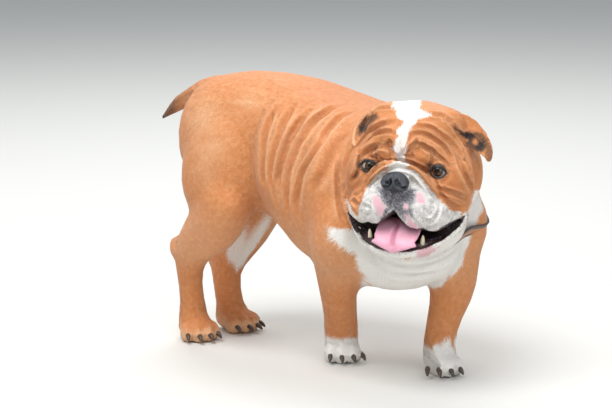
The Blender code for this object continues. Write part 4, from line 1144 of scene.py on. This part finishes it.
for side, pixel in GAZE_PIXELS.items():
    low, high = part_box("eye_" + side)
    centre = middle_of("eye_" + side)
    radius = (high[2] - low[2]) / 2
    ray = through(pixel)
    along = (CAMERA_PLACE - centre).dot(ray)
    inside = along**2 - (CAMERA_PLACE - centre).length_squared + radius**2
    gaze = (CAMERA_PLACE + ray * (-along - math.sqrt(max(inside, 0))) - centre).normalized()
    bpy.ops.object.select_all(action="DESELECT")
    bpy.ops.mesh.primitive_uv_sphere_add(
        segments=EYE_SEGMENTS, ring_count=EYE_RINGS, radius=radius, location=centre,
        rotation=gaze.to_track_quat("Z", "Y").to_euler(),
    )
    eye = bpy.context.object
    eye.name = "eyeball_" + side
    bpy.ops.object.transform_apply(location=True, rotation=True, scale=True)
    eye_points, _ = mesh_arrays(eye.data)
    out = unit(eye_points - np.array(centre))
    degrees = np.degrees(np.arccos(np.clip(out @ np.array(gaze), -1, 1)))
    swell = smooth_step(*CORNEA_DEGREES, degrees) * CORNEA_MM * 0.001
    eye_points += out * swell[:, None]
    normals_of(eye.data, eye_points)
    across = np.array(gaze.orthogonal().normalized())
    turned = np.stack([out @ across, out @ np.cross(np.array(gaze), across)], axis=1)
    turned /= np.maximum(np.linalg.norm(turned, axis=1), 1e-6)[:, None]
    layer = eye.data.attributes.new("ring", "FLOAT", "POINT")
    layer.data.foreach_set("value", (degrees / 90).astype(np.float32))
    layer = eye.data.attributes.new("fibre", "FLOAT_VECTOR", "POINT")
    layer.data.foreach_set("vector", np.column_stack([turned, degrees / 60]).astype(np.float32).ravel())
    bpy.ops.object.shade_smooth()
    eye.data.materials.append(eye_glass)
    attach(eye, "root")
    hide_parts("eye_" + side)

# Lids
# The bare black rims round the eyes, thicker above: a soft cord of skin pressed on the eyeball,
# following the opening between the lids, kept moist.

LID_GAP_MM = 0.35           # the rims stand this far off the eyeball
RIM_REACH = 0.0020          # the rims stay this near the skin
LID_DROP_MM = 1.5           # the upper lid hangs over the eye
RIM_MM = (0.9, 2.1)         # the rim's half thickness below and above the eye


def rope(name, path, radii, closed=False, sides=10):
    """A tube of the given radii along a path, closed on itself or rounded at its ends."""
    path = np.asarray(path, float)
    radii = np.broadcast_to(np.asarray(radii, float), len(path))
    if closed:
        ahead = np.roll(path, -1, axis=0) - np.roll(path, 1, axis=0)
    else:
        ahead = np.gradient(path, axis=0)
    ahead = unit(ahead)
    wide = np.cross(ahead[0], (0.3, 0.5, 0.8))
    loops = []
    for place, run, radius in zip(path, ahead, radii):
        wide = wide - run * (wide @ run)
        wide /= np.linalg.norm(wide)
        deep = np.cross(run, wide)
        angles = 2 * math.pi * np.arange(sides) / sides
        loops.append(place + radius * (np.cos(angles)[:, None] * wide + np.sin(angles)[:, None] * deep))
    shell = bmesh.new()
    rings = [[shell.verts.new(p) for p in loop] for loop in loops]
    pairs = list(zip(rings, rings[1:] + rings[:1] if closed else rings[1:]))
    for first, second in pairs:
        for k in range(sides):
            n = (k + 1) % sides
            shell.faces.new((first[k], first[n], second[n], second[k]))
    if not closed:
        for end, way in ((0, -1), (-1, 1)):
            pole = shell.verts.new(path[end] + way * ahead[end] * radii[end] * 0.6)
            for k in range(sides):
                shell.faces.new((rings[end][k], rings[end][(k + 1) % sides], pole))
    bmesh.ops.recalc_face_normals(shell, faces=shell.faces)
    mesh = bpy.data.meshes.new(name)
    shell.to_mesh(mesh)
    shell.free()
    made = bpy.data.objects.new(name, mesh)
    bpy.context.scene.collection.objects.link(made)
    choose(made)
    bpy.ops.object.shade_smooth()
    return made


rim_skin, rim_tree, rim_shader = new_material("moist black lid skin", {
    "Base Color": linear("#120e0d"), "Roughness": 0.42, "Coat Weight": 0.15, "Coat Roughness": 0.2})
place = add_node(rim_tree, "ShaderNodeTexCoord").outputs["Object"]
grain = add_node(rim_tree, "ShaderNodeTexNoise", inputs={"Vector": place, "Scale": 1600.0, "Detail": 2.0})
surfaced(rim_tree, rim_shader, None, grain.outputs["Fac"], 0.4, 0.0003)

eye_radius_mm = (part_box("eye_left")[1][2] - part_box("eye_left")[0][2]) * 500
for (side, place), sign in zip(EYES.items(), (1, -1)):
    # one full turn, cut from a path that runs on past the first lid point
    outline = smooth_path([LIDS[k % len(LIDS)] for k in range(-2, len(LIDS) + 3)], 1.0)
    start = distance(outline, LIDS[0])
    half_way = len(outline) // 2
    outline = outline[start[:half_way].argmin():half_way + start[half_way:].argmin()]
    spread = eye_radius_mm + LID_GAP_MM + RIM_MM[0] * 0.4
    depth = np.sqrt(np.maximum(spread**2 - (outline**2).sum(1), 1.0))
    line = np.column_stack([depth, sign * outline[:, 0], outline[:, 1]]) + place
    radii = RIM_MM[0] + (RIM_MM[1] - RIM_MM[0]) * smooth_step(-2, 4, outline[:, 1])
    line[:, 2] -= LID_DROP_MM * smooth_step(0, 6, outline[:, 1])
    line = from_head(line)
    for k, spot in enumerate(line):
        edge = np.array(tree.find_nearest(Vector(spot))[0])
        gap = np.linalg.norm(spot - edge)
        line[k] = edge + (spot - edge) * min(1.0, RIM_REACH / max(gap, 1e-6))
    line = 0.25 * np.roll(line, 1, axis=0) + 0.5 * line + 0.25 * np.roll(line, -1, axis=0)
    rim = rope("lid_rim_" + side, line, radii * 0.001, closed=True)
    rim.data.materials.append(rim_skin)
    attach(rim, "root")

# Tongue
# A broad pink tongue that lies over the lower lip, with a groove down its middle and a pointed tip.
# It is wet muscle under a skin of tiny bumps, cast finer from its solid, with painted shade down its
# groove, and darkest at its root, where painted shade falls inside the mouth.

TONGUE_GROOVE = ((397, 219), (397.5, 225), (394.5, 233), (392.5, 241), (392, 249))
TONGUE_BUMP_MM = 0.9
TONGUE_STEP = 0.0012
TONGUE_ROUNDS = 20
TONGUE_RISE_MM = 11.0       # how much the back of the tongue is lifted towards the palate
TONGUE_RISE = (30.0, 2.0)
TONGUE_SPREAD = 0.5         # how much broader it lies over the lower lip
TONGUE_SIDE_MM = 4.0
TONGUE_ARCH_MM = 60.0


def fine_cast(node, name, step, rounds, swell=0.0):
    """A node's copy cast again in fine steps, with its points evened, and its edges."""
    made = node_copy(node, name)
    if swell:
        finish_with(made, "DISPLACE", strength=swell, mid_level=0.0)
    finish_with(made, "REMESH", mode="VOXEL", voxel_size=step)
    made_points, made_edges = mesh_arrays(made.data)
    return made, evened(made_points, made_edges, rounds, np.ones(len(made_points))), made_edges


tongue, tongue_points, _ = fine_cast("tongue", "tongue_skin", TONGUE_STEP, TONGUE_ROUNDS)
in_head = to_head(tongue_points)
over_lip = smooth_step(-97, -104, in_head[:, 2]) * smooth_step(-114, -108, in_head[:, 2])
spread = 1 + TONGUE_SPREAD * over_lip
in_head[:, 1] = TONGUE_SIDE_MM + (in_head[:, 1] - TONGUE_SIDE_MM) * spread
arch = 1 - (in_head[:, 1] / TONGUE_ARCH_MM) ** 2
in_head[:, 2] += TONGUE_RISE_MM * smooth_step(*TONGUE_RISE, in_head[:, 0]) * arch
tongue_points = from_head(in_head)
tongue_normals = normals_of(tongue.data, tongue_points)
groove = traced(TONGUE_GROOVE, surface_of(tongue))
trough, _ = press(tongue_points, tongue_normals, groove, 3.0, 1.8, 0.5)
normals_of(tongue.data, tongue_points)
root_share = smooth_step(26, -8, to_head(tongue_points)[:, 0])
give(tongue, {"throat": root_share, "groove": trough})
choose(tongue)
bpy.ops.object.shade_smooth()

wet_skin, wet_tree, wet_shader = new_material("wet tongue skin", {
    "Roughness": 0.5, "Coat Weight": 0.15, "Coat Roughness": 0.3, "Subsurface Weight": 0.15,
    "Subsurface Scale": 0.004,
})
place = add_node(wet_tree, "ShaderNodeTexCoord").outputs["Object"]
bumps = add_node(wet_tree, "ShaderNodeTexNoise", inputs={
    "Vector": place, "Scale": 1000 / TONGUE_BUMP_MM, "Detail": 2.0})
cloudy = add_node(wet_tree, "ShaderNodeTexNoise", inputs={"Vector": place, "Scale": 90.0, "Detail": 3.0})
throat, groove = (
    add_node(wet_tree, "ShaderNodeAttribute", {"attribute_name": name}).outputs["Fac"]
    for name in ("throat", "groove")
)
# painted shade down the groove, and painted shade at the root inside the mouth
colour = painted(
    wet_tree, linear("#d793a7"), (cloudy.outputs["Fac"], linear("#e5adbf")), (groove, linear("#bd7288")),
    (throat, linear("#8a3b45")),
)
surfaced(wet_tree, wet_shader, colour, bumps.outputs["Fac"], 0.35, 0.0005)
tongue.data.materials.clear()
tongue.data.materials.append(wet_skin)
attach(tongue, "root")
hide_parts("tongue")

# Teeth
# The two lower canines and the six small front teeth between them, standing in the lower gum.
# Each is a cone of enamel, bent a little back and stained yellow in places.

# The canine's middle line in the head's frame, with its radius.
CANINE = (
    (14.0, 38.0, -103.0, 3.6), (15.8, 38.6, -96.0, 3.1), (17.0, 39.0, -91.0, 1.9), (17.4, 39.0, -88.6, 0.8),
)
FRONT_TEETH = (-13.5, -8.0, -2.7, 2.7, 8.0, 13.5)      # mm across the jaw
FRONT_TOOTH = ((0.0, -111.0, 2.0), (0.6, -106.0, 2.1), (1.0, -103.0, 1.2))       # ahead, up and radius
JAW_FRONT = 22.0
JAW_ROUNDING = 55.0
JAW_SIDE = -2.0

enamel, enamel_tree, enamel_shader = new_material("tooth enamel", {"Roughness": 0.22})
place = add_node(enamel_tree, "ShaderNodeTexCoord").outputs["Object"]
stain = add_node(enamel_tree, "ShaderNodeTexNoise", inputs={"Vector": place, "Scale": 300.0, "Detail": 2.0})
colour = painted(enamel_tree, linear("#efe6d2"), (stain.outputs["Fac"], linear("#d8c39a")))
enamel_tree.links.new(colour, enamel_shader.inputs["Base Color"])
teeth = []
for sign in (1, -1):
    rows = smooth_path([(x, sign * y, z, r) for x, y, z, r in CANINE], 1.2)
    teeth.append(rope("tooth", from_head(rows[:, :3]), rows[:, 3] * 0.001))
for across in FRONT_TEETH:
    ahead = JAW_FRONT - across**2 / JAW_ROUNDING
    rows = [(ahead + x, across + JAW_SIDE, z) for x, z, _ in FRONT_TOOTH]
    teeth.append(rope("tooth", from_head(rows), np.array([r for _, _, r in FRONT_TOOTH]) * 0.001, sides=8))
teeth = joined("lower_teeth", teeth)
teeth.data.materials.append(enamel)
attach(teeth, "root")

# Lip fringe
# The row of soft black bumps inside the lower lip by each corner of the mouth, always wet.
# Small flattened beads set close together along the lip, in two uneven rows.

FRINGE = ((425, 240), (432, 239.5), (439, 237.5), (445, 234), (450.5, 229), (455, 224), (459, 218.5))
BEADS = 17
BEAD_MM = (1.4, 2.2)
ROW_MM = (1.4, 0.0, 1.0)    # how far each row lies ahead of and above the lip's line
FRINGE_SEED = 5

wet_lip, lip_tree, lip_shader = new_material("wet black lip skin", {
    "Roughness": 0.2, "Coat Weight": 0.6, "Coat Roughness": 0.08})
place = add_node(lip_tree, "ShaderNodeTexCoord").outputs["Object"]
mottle = add_node(lip_tree, "ShaderNodeTexNoise", inputs={"Vector": place, "Scale": 220.0, "Detail": 2.0})
colour = painted(lip_tree, linear("#17131a"), (mottle.outputs["Fac"], linear("#4c3a40")))
lip_tree.links.new(colour, lip_shader.inputs["Base Color"])
rng = np.random.default_rng(FRINGE_SEED)
seen_fringe = to_head(traced(FRINGE, tree))
beads = []
for sign in (1, -1):
    path = from_head(seen_fringe * (1, sign, 1))
    for k in range(BEADS):
        for row in (-1, 1):
            where = path[int((k + 0.25 * row + 0.5) / BEADS * (len(path) - 1))]
            where = where + HEAD_AXES @ ROW_MM * row * 0.001
            spot, way, _, _ = tree.find_nearest(Vector(where))
            size = rng.uniform(*BEAD_MM) * 0.001
            bpy.ops.object.select_all(action="DESELECT")
            bpy.ops.mesh.primitive_ico_sphere_add(
                subdivisions=2, radius=size, location=spot + way * size * 0.2,
                rotation=way.to_track_quat("Z", "Y").to_euler(), scale=(1.0, 0.8, 0.75),
            )
            bpy.ops.object.transform_apply(location=True, rotation=True, scale=True)
            beads.append(bpy.context.object)
fringe = joined("lip_fringe", beads)
bpy.ops.object.shade_smooth()
fringe.data.materials.append(wet_lip)
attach(fringe, "root")

# Claws
# Four blunt dark claws on each paw, curved down to the ground and worn at the tip.
# Each is a horn sheath that covers the solid's claw, mottled brown and black.

PAWS = {
    "forepaw_right": ((0.082, -0.035), -50.0), "forepaw_left": ((0.246, -0.042), -50.0),
    "hindpaw_right": ((-0.180, -0.026), -38.0), "hindpaw_left": ((-0.161, 0.055), -14.0),
}
HEAD_FIRST_PLACE = (0.2485, -0.1563)       # the head's place before the whole was centred
TOES = ((-1.0, 0.016), (-0.36, 0.026), (0.36, 0.026), (1.0, 0.016))
TOE_ROW = 0.020
TOE_FAN = -14.0
# Along a claw, how far it drops, and its radius in mm.
CLAW = (
    (0.008, 0.0, 4.0), (0.013, 0.0002, 4.1), (0.0185, 0.0014, 3.6), (0.0232, 0.0040, 2.6),
    (0.0262, 0.0066, 1.3),
)
CLAW_STEP = 0.001
CLAW_HEIGHT = 0.0128

horn, horn_tree, horn_shader = new_material("dark claw horn", {"Roughness": 0.35})
place = add_node(horn_tree, "ShaderNodeTexCoord").outputs["Object"]
growth = add_node(horn_tree, "ShaderNodeTexNoise", inputs={
    "Vector": place, "Scale": 500.0, "Detail": 2.0}).outputs["Fac"]
colour = painted(horn_tree, linear("#2a211b"), (growth, linear("#5d4c3f")))
surfaced(horn_tree, horn_shader, colour, growth, 0.3, 0.0003)
centring = HEAD_PLACE[:2] - HEAD_FIRST_PLACE
for name, (spot, heading) in PAWS.items():
    claws = []
    turn = Matrix.Rotation(math.radians(heading), 3, "Z")
    for share, ahead in TOES:
        fan = math.radians(TOE_FAN * share)
        run = Vector((math.cos(fan), math.sin(fan), 0))
        rows = []
        for along, lower, radius in CLAW:
            place = turn @ (Vector((ahead, -share * TOE_ROW, CLAW_HEIGHT - lower)) + run * along)
            rows.append((*(place.xy + Vector(spot) + Vector(centring)), place.z, radius * 0.001))
        rows = smooth_path(rows, CLAW_STEP)
        claws.append(rope("claw", rows[:, :3], rows[:, 3], sides=12))
    claws = joined("claws_" + name, claws)
    claws.data.materials.append(horn)
    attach(claws, "root")

# Nose
# The wide black nose leather with two comma-shaped nostrils and the groove between them.
# It is moist, hairless and pebbled, cast finer from its solid and creased along the lines seen, with
# painted shade in its nostrils.

NOSTRILS = (
    ((390.5, 178), (390, 181.5), (389.5, 184.5), (387, 187), (384, 186.8), (381.5, 185.5)),
    ((396.3, 179), (396.8, 182.5), (398.5, 186.5), (401.7, 188.6), (406, 187.8), (410, 186)),
)
NOSE_GROOVE = ((392.7, 174.5), (392.9, 180), (392.8, 188.5))
NOSE_STEP = 0.0008
NOSE_SWELL = 0.0008
NOSE_ROUNDS = 16
PEBBLE_MM = 1.3

nose, nose_points, nose_edges = fine_cast("nose", "nose_leather", NOSE_STEP, NOSE_ROUNDS, NOSE_SWELL)
nose_normals = normals_of(nose.data, nose_points)
tree = surface_of(nose)
hollow = np.zeros(len(nose_points))
for line in NOSTRILS:
    trough, _ = press(nose_points, nose_normals, traced(line, tree), 2.0, 5.0, 0.22, 0.12)
    hollow = np.maximum(hollow, trough)
press(nose_points, nose_normals, traced(NOSE_GROOVE, tree), 1.2, 1.8, 0.2, 0.12)
nose_points = softened(nose_points, nose_edges)
normals_of(nose.data, nose_points)
give(nose, {"hollow": hollow})
choose(nose)
bpy.ops.object.shade_smooth()

leather, leather_tree, leather_shader = new_material("moist pebbled nose leather", {
    "Roughness": 0.42, "Coat Weight": 0.25, "Coat Roughness": 0.25})
place = add_node(leather_tree, "ShaderNodeTexCoord").outputs["Object"]
pebbles = add_node(leather_tree, "ShaderNodeTexVoronoi", {"feature": "DISTANCE_TO_EDGE"}, {
    "Vector": place, "Scale": 1000 / PEBBLE_MM})
raised = add_node(leather_tree, "ShaderNodeMapRange", inputs={
    "Value": pebbles.outputs["Distance"], "From Max": 0.25}).outputs["Result"]
dull = add_node(leather_tree, "ShaderNodeTexNoise", inputs={"Vector": place, "Scale": 160.0, "Detail": 3.0})
# the nostrils painted near black, as shade in their hollows
nostril_shade = add_node(leather_tree, "ShaderNodeAttribute", {"attribute_name": "hollow"}).outputs["Fac"]
nostril_shade = add_node(leather_tree, "ShaderNodeMapRange", inputs={
    "Value": nostril_shade, "From Min": 0.25, "From Max": 0.75})
top = painted(leather_tree, linear("#2d2f36"), (dull.outputs["Fac"], linear("#585b66")))
colour = painted(
    leather_tree, linear("#212227"), (raised, top), (nostril_shade.outputs["Result"], linear("#060607")))
surfaced(leather_tree, leather_shader, colour, raised, 0.5, 0.0004)
nose.data.materials.clear()
nose.data.materials.append(leather)
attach(nose, "root")
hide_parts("nose")

# Collar
# A flat strap of worn tan leather, its two edges bound dark, half buried where loose skin folds over.
# The strap is cut, its face drawn in from the bound edges, and its edges are rounded by wear.

COLLAR_MIDDLE = Vector((0.151, -0.012, 0.280))
# Where loose skin pushes the strap along the neck: a place, how far round it, and the shift in mm.
SHIFTS = (
    ((0.212, 0.106, 0.252), 0.062, (-20.0, 12.0, 0.0)),
    ((0.064, -0.020, 0.366), 0.090, (5.0, 0.0, -8.0)),
    ((0.226, -0.022, 0.204), 0.050, (4.0, -5.0, -9.0)),
)
BINDING = 0.0036
FACING_OUT = 0.6
EDGE_ANGLE = 55.0
EDGE_CREASE = 0.75
GRAIN_MM = 1.1

collar = node_copy("collar", "collar_strap")
collar.data.materials.clear()
for name, light, deep, roughness in (
    ("worn tan strap leather", "#c08c68", "#94603f", 0.55),
    ("dark bound leather edge", "#5e524e", "#37302d", 0.5),
):
    strap_leather, strap_tree, strap_shader = new_material(name, {"Roughness": roughness})
    place = add_node(strap_tree, "ShaderNodeTexCoord").outputs["Object"]
    grain = add_node(strap_tree, "ShaderNodeTexVoronoi", inputs={"Vector": place, "Scale": 1000 / GRAIN_MM})
    wear = add_node(strap_tree, "ShaderNodeTexNoise", inputs={
        "Vector": place, "Scale": 60.0, "Detail": 4.0})
    colour = painted(strap_tree, linear(deep), (wear.outputs["Fac"], linear(light)))
    surfaced(strap_tree, strap_shader, colour, grain.outputs["Distance"], 0.35, 0.0003)
    collar.data.materials.append(strap_leather)

strap_points, _ = mesh_arrays(collar.data)
for middle, reach, shift in SHIFTS:
    away = distance(strap_points, middle)
    strap_points += smooth_step(reach, 0.4 * reach, away)[:, None] * np.array(shift) * 0.001
normals_of(collar.data, strap_points)
choose(collar)
bpy.ops.object.mode_set(mode="EDIT")
bpy.ops.mesh.select_mode(type="FACE")
bpy.ops.mesh.select_all(action="SELECT")
bpy.ops.mesh.tris_convert_to_quads(face_threshold=math.radians(50), shape_threshold=math.radians(60))
bpy.ops.mesh.select_all(action="DESELECT")
strap = bmesh.from_edit_mesh(collar.data)
for each in strap.faces:
    out = (each.calc_center_median() - COLLAR_MIDDLE).normalized()
    each.select = each.normal.dot(out) > FACING_OUT
strap.select_flush_mode()
bmesh.update_edit_mesh(collar.data)
bpy.ops.mesh.inset(thickness=BINDING, depth=0.0)
strap = bmesh.from_edit_mesh(collar.data)
crease = strap.edges.layers.float.get("crease_edge") or strap.edges.layers.float.new("crease_edge")
for each in strap.faces:
    each.material_index = 0 if each.select else 1
for edge in strap.edges:
    if len(edge.link_faces) == 2 and edge.calc_face_angle(0.0) > math.radians(EDGE_ANGLE):
        edge[crease] = EDGE_CREASE
bmesh.update_edit_mesh(collar.data)
bpy.ops.object.mode_set(mode="OBJECT")
finish_with(collar, "SUBSURF", levels=2, render_levels=2)
bpy.ops.object.shade_smooth_by_angle(angle=math.radians(50))
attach(collar, "root")
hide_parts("collar")

# Floor and light
# A plain pale floor that runs on as far as the camera sees, a large soft light and two weaker ones.

FLOOR_SIZE = 30.0
FLOOR_PAINT = "#d2d1cc"
SKY = "#dfe6ee"
SKY_STRENGTH = 0.55
# Each light's place, size in metres and power in watts.
LIGHTS = (
    ((-0.2, -1.5, 3.3), 2.0, 114.0),
    ((2.6, -1.6, 1.8), 2.2, 34.0),
    ((-1.0, 1.8, 3.0), 2.2, 80.0),
)

bpy.ops.object.select_all(action="DESELECT")
bpy.ops.mesh.primitive_plane_add(size=FLOOR_SIZE, location=(0, 0, 0))
floor = bpy.context.object
floor.name = "floor"
paint, _, _ = new_material("matt floor paint", {"Base Color": linear(FLOOR_PAINT), "Roughness": 0.85})
floor.data.materials.append(paint)
for place, size, power in LIGHTS:
    bpy.ops.object.light_add(type="AREA", location=place)
    lamp = bpy.context.object
    lamp.data.size = size
    lamp.data.energy = power
    lamp.rotation_euler = (CAMERA_AIM - lamp.location).to_track_quat("-Z", "Y").to_euler()
world = bpy.data.worlds.new("soft sky")
bpy.context.scene.world = world
world.use_nodes = True
sky = world.node_tree.nodes["Background"]
sky.inputs["Color"].default_value = linear(SKY)
sky.inputs["Strength"].default_value = SKY_STRENGTH
bpy.context.scene.view_settings.view_transform = "Standard"
